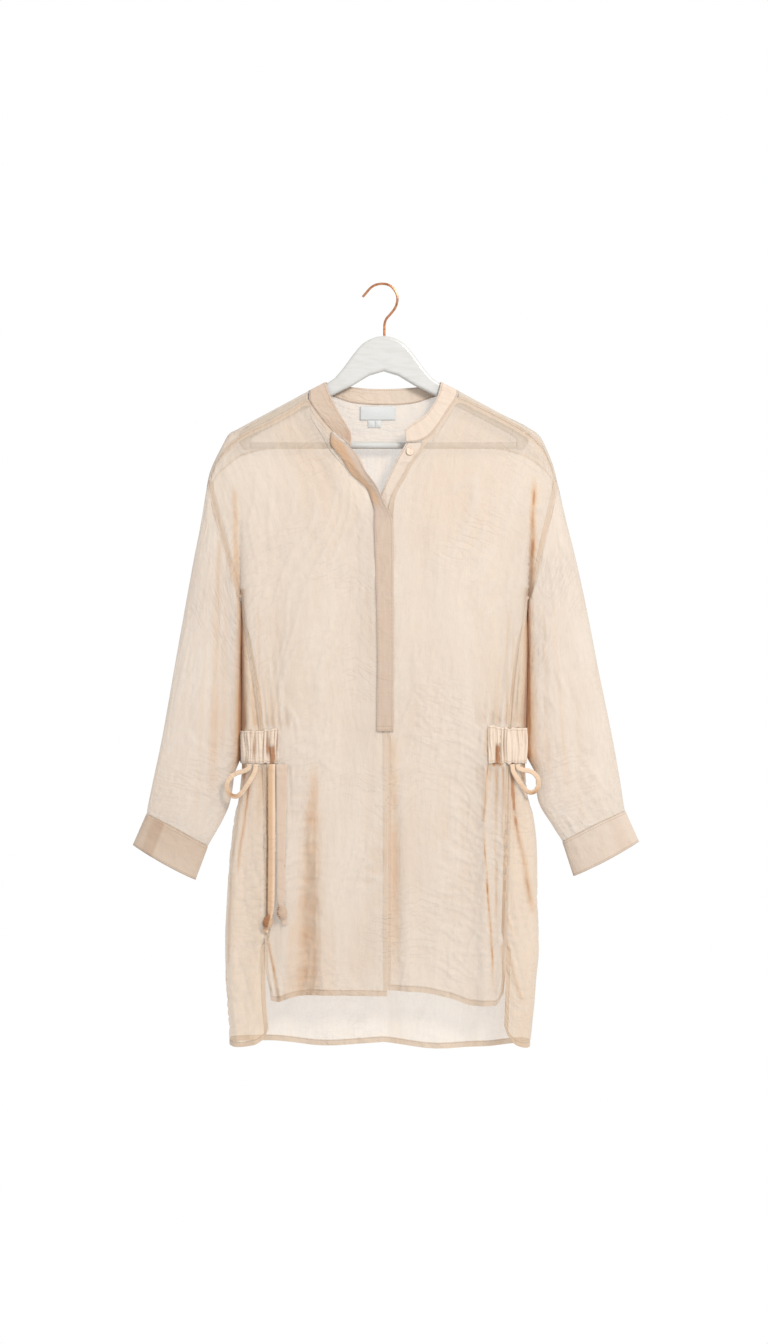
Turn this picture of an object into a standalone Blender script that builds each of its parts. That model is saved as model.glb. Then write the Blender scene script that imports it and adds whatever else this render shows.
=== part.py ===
"""Popover tunic top on a flat wooden hanger.

The tunic is cut in thin wrinkled cloth: two fronts joined below a half placket, one back that
wraps round to seams set forward, a yoke over the shoulders, long sleeves with cuffs, a band
collar, and a drawn-in casing at each side of the waist with ties. It hangs flat on the hanger.

Lengths are in millimetres until a mesh is made. X runs to the right, -Y comes out of the front,
+Z is up, and the origin is the underside of the hook's top, where a rail would touch it.
"Outward" lengths are measured from the middle of the hanger, on the side of the wearer's right
arm (RIGHT_ARM, at -X) or the left arm (LEFT_ARM, at +X).
"""

import math
from collections import namedtuple

import bmesh
import bpy
from mathutils import Vector

MM = 0.001

# Cloth, seams and layers
CLOTH_WALL = 1.2
BAND_WALL = 1.4
TAPE_WALL = 1.4
CUFF_WALL = 1.8
SEAM_GAP = 0.4
UNDERARM_GAP = 1.4
LAYER_LIFT = 1.65
CASING_LIFT = 2.0

# How the cloth hangs: a rounded ridge on the hanger, deeper away from its outline
RIDGE_RADIUS = 8.5
FRONT_DEPTH = 26.0
FRONT_GROWTH = 0.20
BACK_DEPTH = 17.0
BACK_GROWTH = 0.12
EDGE_REACH = 14.0
LEAST_DEPTH = 0.95
UNDERARM_Z = -428.0
RECESS_HEIGHT = 150.0

# Hanger
WOOD_THICKNESS = 10.0
WOOD_EDGE = 4.0
WIRE_RADIUS = 1.7
BAR_DIAMETER = 9.0
BAR_Z = -218.5
BAR_HALF_LENGTH = 180.0

RIGHT_ARM = -1
LEFT_ARM = 1
SIDES = {RIGHT_ARM: "right", LEFT_ARM: "left"}

CLOTH_COLOUR = (0.86, 0.74, 0.62, 1.0)
BAND_COLOUR = (0.74, 0.60, 0.50, 1.0)
LABEL_COLOUR = (0.93, 0.92, 0.90, 1.0)
WOOD_COLOUR = (0.85, 0.85, 0.83, 1.0)
COPPER_COLOUR = (0.72, 0.42, 0.28, 1.0)
BUTTON_COLOUR = (0.84, 0.76, 0.70, 1.0)

OutlinePoint = namedtuple("OutlinePoint", "right_x right_z left_x left_z")
OUTLINE = (
    OutlinePoint(0.0, -89.8, 0.0, -89.8),
    OutlinePoint(102.0, -144.2, 102.0, -144.2),
    OutlinePoint(162.8, -176.8, 160.0, -175.2),
    OutlinePoint(197.9, -195.8, 201.0, -196.5),
    OutlinePoint(210.1, -202.6, 212.5, -205.5),
    OutlinePoint(220.0, -220.0, 223.0, -226.0),
    OutlinePoint(230.5, -240.7, 232.0, -250.0),
    OutlinePoint(237.3, -258.4, 237.0, -272.0),
    OutlinePoint(241.8, -284.2, 241.0, -290.0),
    OutlinePoint(258.1, -374.0, 261.8, -374.0),
    OutlinePoint(299.9, -609.3, 310.0, -609.3),
    OutlinePoint(321.6, -719.4, 328.4, -716.0),
)

# The body's edges, and the seams that lie forward of them, at each height
BodySection = namedtuple("BodySection", "z right_edge left_edge right_seam left_seam")
BODY = (
    BodySection(-400.0, 194.6, 197.2, 194.6, 197.2),
    BodySection(-428.0, 194.6, 197.2, 194.2, 196.6),
    BodySection(-455.0, 193.8, 196.8, 191.0, 192.8),
    BodySection(-482.8, 193.1, 196.4, 186.6, 188.6),
    BodySection(-537.2, 192.4, 195.4, 178.2, 181.6),
    BodySection(-609.3, 192.4, 193.6, 169.3, 175.4),
    BodySection(-652.8, 192.6, 192.6, 165.6, 173.4),
    BodySection(-690.9, 197.2, 195.4, 163.4, 172.4),
    BodySection(-722.2, 203.3, 204.0, 162.2, 171.8),
    BodySection(-761.6, 208.8, 208.1, 161.4, 170.8),
    BodySection(-836.4, 212.8, 209.4, 160.8, 168.4),
    BodySection(-899.0, 215.0, 210.8, 160.3, 166.4),
    BodySection(-946.6, 214.5, 206.4, 159.4, 165.0),
    BodySection(-977.8, 212.3, 204.0, 158.4, 163.9),
    BodySection(-1013.2, 209.7, 200.2, 155.4, 163.0),
    BodySection(-1050.0, 208.8, 196.5, 155.4, 163.0),
)

# Each front's top edge: half the neckline, then the yoke seam out to the armhole
TopPoint = namedtuple("TopPoint", "share right_x right_z left_x left_z")
FRONT_TOP = (
    TopPoint(0.00, 68.2, -203.0, 52.0, -214.4),
    TopPoint(0.05, 78.4, -192.4, 62.4, -209.2),
    TopPoint(0.10, 87.0, -181.8, 73.4, -196.6),
    TopPoint(0.15, 95.8, -170.2, 86.6, -176.4),
    TopPoint(0.20, 102.4, -159.3, 102.0, -155.6),
    TopPoint(0.34, 127.0, -173.2, 126.0, -165.8),
    TopPoint(0.48, 152.3, -187.0, 150.0, -177.8),
    TopPoint(0.66, 191.1, -206.2, 188.0, -199.0),
    TopPoint(0.78, 212.0, -224.0, 211.0, -217.5),
    TopPoint(0.90, 227.0, -243.5, 226.5, -245.0),
    TopPoint(1.00, 236.0, -270.6, 233.8, -272.0),
)

# The fronts' meeting edges: the open neck, the lap under the placket, the centre seam
MeetingPoint = namedtuple("MeetingPoint", "z right_x left_x")
FRONT_MEETING = (
    MeetingPoint(-201.0, 68.2, 52.0),
    MeetingPoint(-217.0, 68.4, 52.0),
    MeetingPoint(-229.3, 60.8, 46.0),
    MeetingPoint(-242.0, 51.6, 36.0),
    MeetingPoint(-257.0, 42.6, 28.0),
    MeetingPoint(-271.0, 28.0, 20.0),
    MeetingPoint(-283.0, 17.0, 13.0),
    MeetingPoint(-298.0, 11.0, 8.0),
    MeetingPoint(-325.0, 3.0, 4.0),
    MeetingPoint(-350.0, -2.0, 2.4),
    MeetingPoint(-598.0, -2.0, 2.4),
    MeetingPoint(-625.0, -4.8, 5.2),
    MeetingPoint(-990.0, -4.8, 5.2),
)

# The fronts' hem, with the vent's rise at its outer end
HemPoint = namedtuple("HemPoint", "share right_x right_z left_x left_z")
FRONT_HEM = (
    HemPoint(0.00, -4.8, -964.2, 5.2, -956.0),
    HemPoint(0.30, 50.0, -963.4, 50.0, -958.8),
    HemPoint(0.55, 90.0, -962.6, 92.0, -967.4),
    HemPoint(0.75, 123.0, -965.6, 122.0, -977.0),
    HemPoint(0.92, 144.0, -971.5, 150.0, -977.5),
    HemPoint(1.00, 152.5, -969.5, 162.0, -960.0),
)

BackTopPoint = namedtuple("BackTopPoint", "share right_x left_x z")
BACK_TOP = (
    BackTopPoint(0.00, 0.0, 0.0, -219.0),
    BackTopPoint(0.45, 102.4, 102.4, -219.4),
    BackTopPoint(0.64, 152.3, 150.0, -222.0),
    BackTopPoint(0.80, 191.1, 188.0, -231.0),
    BackTopPoint(0.88, 212.0, 211.0, -245.0),
    BackTopPoint(0.96, 227.0, 226.5, -260.0),
    BackTopPoint(1.00, 236.0, 233.8, -274.0),
)

BackHemPoint = namedtuple("BackHemPoint", "share right_z left_z")
BACK_HEM = (
    BackHemPoint(0.00, -1032.4, -1032.4),
    BackHemPoint(0.30, -1036.5, -1040.5),
    BackHemPoint(0.55, -1029.8, -1038.0),
    BackHemPoint(0.75, -1031.0, -1032.8),
    BackHemPoint(0.86, -1033.0, -1034.5),
    BackHemPoint(0.93, -1030.0, -1031.0),
    BackHemPoint(0.98, -1021.0, -1018.0),
    BackHemPoint(1.00, -1008.0, -1004.0),
)

# Each sleeve's sections from the armhole to the cuff seam
SleeveSection = namedtuple("SleeveSection", "outer_x outer_z inner_x inner_z depth")
SLEEVES = {
    RIGHT_ARM: (
        SleeveSection(238.9, -266.0, 196.6, -431.0, 17.0),
        SleeveSection(248.2, -323.7, 197.0, -470.0, 18.0),
        SleeveSection(258.1, -374.0, 197.8, -510.0, 18.0),
        SleeveSection(270.0, -439.3, 198.4, -555.0, 17.0),
        SleeveSection(285.0, -524.0, 199.4, -600.0, 16.0),
        SleeveSection(299.9, -609.3, 201.4, -648.0, 15.0),
        SleeveSection(311.0, -663.0, 207.4, -697.7, 14.0),
        SleeveSection(320.3, -707.2, 218.0, -726.0, 13.0),
        SleeveSection(321.9, -720.0, 240.0, -764.7, 11.0),
    ),
    LEFT_ARM: (
        SleeveSection(236.0, -267.0, 199.8, -431.0, 17.0),
        SleeveSection(249.0, -323.0, 201.0, -470.0, 18.0),
        SleeveSection(261.8, -374.0, 202.0, -510.0, 18.0),
        SleeveSection(276.0, -439.0, 203.4, -555.0, 17.0),
        SleeveSection(292.5, -524.0, 204.9, -600.0, 16.0),
        SleeveSection(310.0, -609.0, 206.4, -648.0, 15.0),
        SleeveSection(320.0, -664.0, 210.0, -700.0, 14.0),
        SleeveSection(326.5, -705.0, 229.0, -734.0, 13.0),
        SleeveSection(328.4, -716.0, 244.1, -757.5, 11.0),
    ),
}
CuffEnd = namedtuple("CuffEnd", "outer_x outer_z inner_x inner_z depth")
CUFF_ENDS = {
    RIGHT_ARM: CuffEnd(340.1, -761.6, 256.4, -808.5, 11.5),
    LEFT_ARM: CuffEnd(346.7, -757.2, 259.1, -803.6, 11.5),
}

# The band collar from its end on the wearer's right, round the back, to the other end.
# face is -1 on the front of the neck, 0 on the shoulder ridge and 1 behind it.
RIDGE_CROSSING = 4.0
CollarSection = namedtuple("CollarSection", "seam_x seam_z top_x top_z face")
COLLAR = (
    CollarSection(-68.8, -200.0, -44.0, -221.5, -1),
    CollarSection(-77.4, -190.5, -44.4, -203.0, -1),
    CollarSection(-85.8, -180.0, -52.0, -188.5, -1),
    CollarSection(-94.4, -168.5, -60.0, -175.5, -1),
    CollarSection(-100.6, -157.5, -67.5, -160.5, -1),
    CollarSection(-101.0, -149.8, -74.0, -146.5, -1),
    CollarSection(-101.0, -146.4, -77.2, -136.4, -1),
    CollarSection(-100.6, -144.2, -78.6, -132.4, 0),
    CollarSection(-88.0, -146.4, -70.0, -133.8, 1),
    CollarSection(-67.0, -151.4, -58.0, -135.6, 1),
    CollarSection(-45.0, -158.5, -42.0, -137.8, 1),
    CollarSection(-22.0, -161.3, -21.0, -139.6, 1),
    CollarSection(0.0, -161.8, 0.0, -140.1, 1),
    CollarSection(22.0, -161.8, 21.0, -139.6, 1),
    CollarSection(45.0, -158.9, 42.0, -138.3, 1),
    CollarSection(67.0, -152.0, 58.0, -136.2, 1),
    CollarSection(88.0, -146.4, 70.0, -134.0, 1),
    CollarSection(100.6, -144.2, 77.6, -132.5, 0),
    CollarSection(101.0, -146.4, 77.2, -136.0, -1),
    CollarSection(101.0, -149.8, 76.0, -142.0, -1),
    CollarSection(98.0, -156.5, 73.3, -151.0, -1),
    CollarSection(89.4, -168.5, 69.5, -160.0, -1),
    CollarSection(79.0, -185.0, 64.0, -168.8, -1),
    CollarSection(70.8, -197.0, 57.0, -177.5, -1),
    CollarSection(61.4, -207.6, 48.0, -184.5, -1),
    CollarSection(46.4, -214.6, 37.5, -191.0, -1),
    CollarSection(30.6, -215.4, 28.8, -199.5, -1),
)

# Both placket bands, from the neck down: across each from one long edge to the other
BandSection = namedtuple("BandSection", "outer_x outer_z inner_x inner_z stand")
TOP_PLACKET = (
    BandSection(-70.4, -201.5, -43.6, -224.5, 1.0),
    BandSection(-71.4, -217.1, -34.0, -235.0, 3.0),
    BandSection(-63.8, -229.3, -28.5, -245.0, 4.5),
    BandSection(-55.1, -240.2, -23.5, -256.0, 5.5),
    BandSection(-45.6, -257.0, -15.0, -267.0, 5.5),
    BandSection(-31.0, -270.6, -7.9, -277.5, 5.0),
    BandSection(-21.1, -280.2, -3.5, -287.5, 4.0),
    BandSection(-15.6, -295.1, 1.5, -299.0, 2.5),
    BandSection(-12.6, -308.0, 8.0, -311.0, 1.0),
    BandSection(-12.9, -327.8, 13.0, -328.0, 0.0),
    BandSection(-11.3, -380.0, 13.6, -380.0, 0.0),
    BandSection(-9.8, -435.0, 13.6, -435.0, 0.0),
    BandSection(-8.3, -507.0, 13.8, -507.0, 0.0),
    BandSection(-9.0, -560.0, 13.6, -560.0, 0.0),
    BandSection(-9.4, -606.6, 13.6, -606.6, 0.0),
)
UNDER_PLACKET = (
    BandSection(30.5, -216.6, 57.5, -215.6, 0.0),
    BandSection(24.9, -225.8, 54.0, -224.0, 0.0),
    BandSection(19.5, -236.0, 43.0, -240.0, 0.0),
    BandSection(14.8, -245.5, 36.0, -250.0, 0.0),
    BandSection(7.6, -261.0, 29.0, -265.0, 0.0),
    BandSection(0.7, -276.6, 20.0, -280.0, 0.0),
    BandSection(-5.0, -292.0, 15.0, -296.0, 0.0),
    BandSection(-8.5, -330.0, 13.0, -330.0, 0.0),
    BandSection(-7.0, -420.0, 13.0, -420.0, 0.0),
    BandSection(-7.0, -510.0, 13.0, -510.0, 0.0),
    BandSection(-7.0, -604.0, 13.0, -604.0, 0.0),
)

# The casings at the waist, the gathers that fan out of them, and the drawn tape in them
Casing = namedtuple("Casing", "top_z bottom_z front_x back_reach")
CASINGS = {
    RIGHT_ARM: Casing(-606.0, -650.0, 141.8, 52.0),
    LEFT_ARM: Casing(-602.0, -650.0, 141.6, 52.0),
}
GATHER_DEPTH = 3.6
GATHER_SPREAD = 42.0
GATHER_START = 8
CASING_WAVE = 1.5
CASING_WAVES = 9

# The large folds of the fronts: from one end to the other, how wide and how far they stand
Fold = namedtuple("Fold", "x0 z0 x1 z1 width stand")
FOLDS = (
    Fold(-107.0, -690.0, -108.0, -985.0, 17.0, -6.5),
    Fold(-128.0, -700.0, -134.0, -985.0, 12.0, 4.0),
    Fold(-86.0, -720.0, -84.0, -985.0, 13.0, 3.5),
    Fold(15.0, -650.0, 17.0, -985.0, 8.0, -3.0),
    Fold(28.0, -640.0, 34.0, -985.0, 10.0, 2.5),
    Fold(141.0, -560.0, 136.0, -985.0, 9.0, 4.5),
    Fold(153.0, -590.0, 148.0, -930.0, 7.0, -4.0),
    Fold(120.0, -640.0, 118.0, -985.0, 12.0, -2.5),
    Fold(-60.0, -260.0, -120.0, -520.0, 20.0, 2.5),
    Fold(60.0, -260.0, 110.0, -560.0, 22.0, 2.5),
    Fold(-25.0, -300.0, -60.0, -700.0, 16.0, -2.0),
    Fold(-150.0, -300.0, -150.0, -560.0, 14.0, -2.5),
    Fold(160.0, -300.0, 158.0, -560.0, 14.0, -2.5),
)
BACK_FOLDS = (
    Fold(-120.0, -300.0, -110.0, -1020.0, 24.0, 4.0),
    Fold(-60.0, -420.0, -70.0, -1020.0, 20.0, -3.0),
    Fold(0.0, -300.0, 4.0, -1020.0, 26.0, 3.0),
    Fold(60.0, -420.0, 74.0, -1020.0, 20.0, -3.0),
    Fold(120.0, -300.0, 112.0, -1020.0, 24.0, 4.0),
)
SLEEVE_FOLD_DEPTH = 2.6

HookPoint = namedtuple("HookPoint", "x z")
HOOK = (
    HookPoint(-28.3, -16.3),
    HookPoint(-23.8, -10.9),
    HookPoint(-17.0, -3.4),
    HookPoint(-9.5, 0.6),
    HookPoint(0.0, WIRE_RADIUS),
    HookPoint(8.5, -0.6),
    HookPoint(15.0, -6.8),
    HookPoint(18.6, -14.8),
    HookPoint(18.6, -23.1),
    HookPoint(15.4, -31.8),
    HookPoint(9.6, -39.4),
    HookPoint(4.2, -45.6),
    HookPoint(1.6, -52.0),
    HookPoint(1.2, -60.0),
    HookPoint(1.2, -69.0),
)

# Half of the wooden body's outline, from the neck out along the top and back underneath
WoodPoint = namedtuple("WoodPoint", "outward z")
WOOD_HALF = (
    WoodPoint(0.0, -69.6),
    WoodPoint(9.0, -70.4),
    WoodPoint(18.0, -73.6),
    WoodPoint(27.0, -78.8),
    WoodPoint(34.0, -85.6),
    WoodPoint(43.5, -97.6),
    WoodPoint(54.5, -112.8),
    WoodPoint(66.0, -126.4),
    WoodPoint(78.0, -134.6),
    WoodPoint(102.0, -147.1),
    WoodPoint(150.0, -172.3),
    WoodPoint(189.0, -193.8),
    WoodPoint(197.0, -202.0),
    WoodPoint(197.0, -214.0),
    WoodPoint(191.0, -224.5),
    WoodPoint(180.4, -224.5),
    WoodPoint(180.4, -209.0),
    WoodPoint(168.0, -201.0),
    WoodPoint(130.0, -181.0),
    WoodPoint(70.0, -150.8),
    WoodPoint(41.5, -136.6),
    WoodPoint(20.0, -123.5),
    WoodPoint(0.0, -117.5),
)

TieSection = namedtuple("TieSection", "x z width thickness")
TIES = {
    "tie_1": (
        TieSection(-151.0, -650.6, 9.5, 1.4),
        TieSection(-151.2, -700.0, 9.4, 1.4),
        TieSection(-151.0, -760.0, 9.4, 1.4),
        TieSection(-151.4, -820.0, 9.4, 1.4),
        TieSection(-152.0, -846.0, 9.0, 1.5),
        TieSection(-153.0, -855.0, 7.0, 4.0),
        TieSection(-154.4, -859.0, 12.5, 7.0),
        TieSection(-156.0, -864.0, 14.0, 8.0),
        TieSection(-157.2, -869.0, 12.0, 6.0),
        TieSection(-158.2, -872.0, 8.0, 2.4),
        TieSection(-160.0, -877.5, 9.0, 1.4),
    ),
    "tie_2": (
        TieSection(-137.6, -650.6, 14.5, 1.4),
        TieSection(-137.4, -690.0, 14.0, 1.4),
        TieSection(-137.8, -740.0, 12.4, 1.4),
        TieSection(-138.0, -800.0, 11.0, 1.4),
        TieSection(-138.2, -832.0, 10.6, 1.5),
        TieSection(-138.0, -840.0, 7.0, 4.0),
        TieSection(-137.4, -845.0, 12.0, 7.0),
        TieSection(-136.6, -851.0, 14.0, 8.0),
        TieSection(-135.0, -857.0, 11.0, 5.0),
        TieSection(-134.0, -861.0, 8.0, 2.4),
        TieSection(-132.6, -867.0, 9.0, 1.4),
    ),
}
TIE_STAND = 2.6
KNOT_STAND = 6.0

LoopPoint = namedtuple("LoopPoint", "outward y z")
LOOPS = {
    RIGHT_ARM: (
        LoopPoint(181.0, -24.6, -650.8),
        LoopPoint(182.4, -24.8, -656.4),
        LoopPoint(189.0, -24.4, -660.2),
        LoopPoint(197.6, -23.6, -662.6),
        LoopPoint(205.4, -22.8, -667.6),
        LoopPoint(210.8, -22.4, -675.4),
        LoopPoint(211.4, -22.4, -684.6),
        LoopPoint(206.8, -22.6, -692.2),
        LoopPoint(199.0, -23.4, -694.4),
        LoopPoint(191.6, -24.2, -689.4),
        LoopPoint(185.0, -25.0, -680.4),
        LoopPoint(178.8, -25.6, -670.6),
        LoopPoint(173.8, -25.8, -660.6),
        LoopPoint(172.4, -25.4, -650.8),
    ),
    LEFT_ARM: (
        LoopPoint(181.0, -24.6, -650.8),
        LoopPoint(182.4, -24.8, -656.0),
        LoopPoint(189.0, -24.4, -658.6),
        LoopPoint(197.4, -23.6, -660.0),
        LoopPoint(204.6, -22.8, -664.4),
        LoopPoint(209.0, -22.4, -671.8),
        LoopPoint(209.0, -22.4, -680.4),
        LoopPoint(204.6, -22.6, -687.2),
        LoopPoint(197.4, -23.4, -688.8),
        LoopPoint(190.6, -24.2, -684.2),
        LoopPoint(184.8, -25.0, -676.4),
        LoopPoint(179.4, -25.6, -668.2),
        LoopPoint(175.0, -25.8, -660.0),
        LoopPoint(173.8, -25.4, -650.8),
    ),
}
LOOP_RADIUS = 2.0

# Buttons and labels
BUTTON_RADIUS = 5.0
BUTTON_THICKNESS = 2.2
NECK_BUTTON_X = 36.0
NECK_BUTTON_Z = -227.8
LABEL_WALL = 0.7
Label = namedtuple("Label", "name left right top bottom")
LABELS = (
    Label("neck_label", -32.0, 16.0, -164.2, -182.6),
    Label("fibre_tab", -21.0, -12.0, -183.0, -192.4),
    Label("size_tab", -11.4, -3.4, -183.0, -192.4),
)

# How finely each sheet is divided
FRONT_COLUMN_SHARES = [0.0, 0.05, 0.10, 0.15, 0.20, 0.34, 0.48, 0.57]
FRONT_COLUMN_SHARES += [0.66 + 0.03 * step for step in range(8)]
FRONT_COLUMN_SHARES += [0.90, 0.925, 0.95, 0.975, 1.0]
FRONT_ROW_SHARES = (0.0, 0.045, 0.09, 0.14, 0.19, 0.25, 0.31, 0.37, 0.42, 0.455, 0.482, 0.505, 0.528,
                    0.55, 0.572, 0.597, 0.625, 0.66, 0.70, 0.75, 0.80, 0.85, 0.90, 0.95, 1.0)
BACK_HALF_SHARES = [0.0, 0.15, 0.30, 0.45, 0.53] + [0.60 + 0.04 * step for step in range(11)]
BACK_ROW_SHARES = (0.0, 0.05, 0.10, 0.16, 0.22, 0.27, 0.32, 0.37, 0.41, 0.445, 0.47, 0.495, 0.52,
                   0.545, 0.575, 0.61, 0.65, 0.70, 0.75, 0.80, 0.85, 0.89, 0.93, 0.965, 1.0)
YOKE_NECK_COLUMNS = (0.0, 22.0, 45.0, 67.0, 88.0, 97.0)
YOKE_SHOULDER_SHARES = (0.20, 0.27, 0.34, 0.41, 0.48, 0.57, 0.66, 0.72, 0.78, 0.84, 0.90, 0.95, 1.0)
SLEEVE_SEGMENTS = 16
SLEEVE_ROWS = 15
COLLAR_COLUMNS = 52
PLACKET_ROWS = 22
CASING_COLUMNS = 20


def smooth_step(value):
    """Ease a value from 0 to 1."""
    value = min(max(value, 0.0), 1.0)
    return value * value * (3.0 - 2.0 * value)


def blend(start, end, share):
    return start + (end - start) * share


def read_table(rows, key, value, at):
    """Read one column of a table at a place between its rows, along straight lines."""
    first = getattr(rows[0], key)
    rising = getattr(rows[-1], key) > first
    for row, following in zip(rows, rows[1:]):
        here, there = getattr(row, key), getattr(following, key)
        inside = at <= there if rising else at >= there
        if inside:
            share = (at - here) / (there - here)
            return blend(getattr(row, value), getattr(following, value), min(max(share, 0.0), 1.0))
    return getattr(rows[-1], value)


def read_curve(rows, share, *columns):
    """Read columns of a table at a share of its rows, along a smooth curve through them."""
    place = min(max(share, 0.0), 1.0) * (len(rows) - 1)
    index = min(int(place), len(rows) - 2)
    part = place - index
    before = rows[max(index - 1, 0)]
    start, end = rows[index], rows[index + 1]
    after = rows[min(index + 2, len(rows) - 1)]
    result = []
    for column in columns:
        p0, p1, p2, p3 = (getattr(row, column) for row in (before, start, end, after))
        slope_1, slope_2 = (p2 - p0) / 2.0, (p3 - p1) / 2.0
        rise = 3.0 * (p2 - p1) - 2.0 * slope_1 - slope_2
        turn = 2.0 * (p1 - p2) + slope_1 + slope_2
        result.append(p1 + slope_1 * part + rise * part ** 2 + turn * part ** 3)
    return result


def side_name(side, column):
    return f"{SIDES[side]}_{column}"


def outline_distance(side, outward, z):
    """How far a point lies inside the outline of the shoulders and sleeves."""
    nearest = 1e9
    for start, end in zip(OUTLINE, OUTLINE[1:]):
        ax, az = getattr(start, side_name(side, "x")), getattr(start, side_name(side, "z"))
        bx, bz = getattr(end, side_name(side, "x")), getattr(end, side_name(side, "z"))
        along = ((outward - ax) * (bx - ax) + (z - az) * (bz - az)) / ((bx - ax) ** 2 + (bz - az) ** 2)
        along = min(max(along, 0.0), 1.0)
        nearest = min(nearest, math.hypot(outward - blend(ax, bx, along), z - blend(az, bz, along)))
    return nearest


def swell(distance, growth, limit):
    """Half the hanging cloth's thickness: round over the ridge, then slowly deeper."""
    if distance < RIDGE_RADIUS:
        return math.sqrt(RIDGE_RADIUS ** 2 - (RIDGE_RADIUS - distance) ** 2)
    room = limit - RIDGE_RADIUS
    return limit - room * math.exp(-(distance - RIDGE_RADIUS) * growth / room)


def body_edge(side, z):
    return read_table(BODY, "z", side_name(side, "edge"), z)


def edge_roundness(side, outward, z):
    """Draws the cloth in at the body's edge, and into the recess that runs up beside the sleeve."""
    nearness = abs(outward - body_edge(side, z)) / EDGE_REACH
    if nearness >= 1.0:
        return 1.0
    roundness = math.sqrt(1.0 - (1.0 - nearness) ** 2)
    return blend(roundness, 1.0, smooth_step((z - UNDERARM_Z) / RECESS_HEIGHT))


def fold_stand(folds, x, z):
    """How far the large folds move the cloth outwards at a point."""
    stand = 0.0
    for fold in folds:
        run_x, run_z = fold.x1 - fold.x0, fold.z1 - fold.z0
        length = math.hypot(run_x, run_z)
        along = ((x - fold.x0) * run_x + (z - fold.z0) * run_z) / length ** 2
        across = ((x - fold.x0) * run_z - (z - fold.z0) * run_x) / length
        fade = smooth_step(along * 3.5) * smooth_step((1.25 - along) * 4.0)
        stand += fold.stand * fade * math.exp(-(across / fold.width) ** 2)
    return stand


def casing_fade(side, z):
    """Folds are flattened under the casings."""
    casing = CASINGS[side]
    middle = (casing.top_z + casing.bottom_z) / 2.0
    half = (casing.top_z - casing.bottom_z) / 2.0
    return smooth_step((abs(z - middle) - half - 14.0) / 30.0)


def front_y(side, outward, z, lift=0.0):
    """The front sheet of the hanging cloth."""
    depth = swell(outline_distance(side, outward, z), FRONT_GROWTH, FRONT_DEPTH)
    near_edge = smooth_step((body_edge(side, z) - outward) / 30.0 + 0.1)
    folds = fold_stand(FOLDS, side * outward, z) * near_edge
    if outward > 120.0:
        folds *= casing_fade(side, z)
    roundness = edge_roundness(side, outward, z)
    return -max(depth * roundness + folds, LEAST_DEPTH) - lift


def back_y(side, outward, z, lift=0.0):
    """The back sheet of the hanging cloth, above the underarm or well inside the edges."""
    depth = swell(outline_distance(side, outward, z), BACK_GROWTH, BACK_DEPTH)
    near_edge = smooth_step((body_edge(side, z) - outward) / 40.0)
    below_yoke = smooth_step((-235.0 - z) / 60.0)
    folds = fold_stand(BACK_FOLDS, side * outward, z) * near_edge * below_yoke
    return max(depth * edge_roundness(side, outward, z) + folds, LEAST_DEPTH) + lift


def quarter_wrap(side, z):
    """Length of cloth from the body's edge to where the sheet lies flat."""
    depth = swell(outline_distance(side, body_edge(side, z) - EDGE_REACH, z), BACK_GROWTH, BACK_DEPTH)
    return math.pi / 4.0 * (EDGE_REACH + depth)


def wrapped_point(side, z, travel, lift=0.0, stand=0.0):
    """A point on the body, a length of cloth away from its edge: to the back, or forward if negative."""
    edge, quarter = body_edge(side, z), quarter_wrap(side, z)
    turn = min(abs(travel) / quarter, 1.0) * math.pi / 2.0
    flat = max(abs(travel) - quarter, 0.0)
    outward = edge - EDGE_REACH * (1.0 - math.cos(turn)) - flat
    if travel >= 0.0:
        depth, growth, limit, folds = 1.0, BACK_GROWTH, BACK_DEPTH, BACK_FOLDS
    else:
        depth, growth, limit, folds = -1.0, FRONT_GROWTH, FRONT_DEPTH, FOLDS
    thickness = swell(outline_distance(side, outward, z), growth, limit)
    folding = fold_stand(folds, side * outward, z) * smooth_step((edge - outward) / 40.0)
    folding = folding * casing_fade(side, z)
    outward += (lift + stand) * math.cos(turn)
    y = depth * (thickness + folding + lift + stand) * math.sin(turn)
    return side * outward, y, z


def seam_travel(side, z):
    """Length of cloth from the body's edge forward to the side seam."""
    edge, quarter = body_edge(side, z), quarter_wrap(side, z)
    inset = edge - read_table(BODY, "z", side_name(side, "seam"), z)
    if inset >= EDGE_REACH:
        return quarter + inset - EDGE_REACH
    return quarter * math.acos(1.0 - inset / EDGE_REACH) / (math.pi / 2.0)


def gathers(side, place, z):
    """Small waves that fan out above and below a casing, and none under it."""
    casing = CASINGS[side]
    middle = (casing.top_z + casing.bottom_z) / 2.0
    half = (casing.top_z - casing.bottom_z) / 2.0
    beyond = abs(z - middle) - half
    if beyond <= 0.0:
        return 0.0
    drawn_in = GATHER_DEPTH * (1.0 + math.cos(math.pi * place)) / 2.0
    return -drawn_in * min(beyond / 10.0, 1.0) * math.exp(-beyond / GATHER_SPREAD)


def armhole(side, share):
    """A point on the armhole seam, from the shoulder to the underarm."""
    start = SLEEVES[side][0]
    return blend(start.outer_x, start.inner_x, share), blend(start.outer_z, start.inner_z, share)


def armhole_outward(side, z):
    start = SLEEVES[side][0]
    share = (z - start.outer_z) / (start.inner_z - start.outer_z)
    return armhole(side, share)[0]


def new_material(name, colour, roughness, metallic=0.0):
    material = bpy.data.materials.new(name)
    material.use_nodes = True
    shader = material.node_tree.nodes["Principled BSDF"]
    shader.inputs["Base Color"].default_value = colour
    shader.inputs["Roughness"].default_value = roughness
    shader.inputs["Metallic"].default_value = metallic
    return material


def add_object(name, mesh, material, collection):
    part = bpy.data.objects.new(name, mesh)
    part.data.materials.append(material)
    collection.objects.link(part)
    return part


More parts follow.
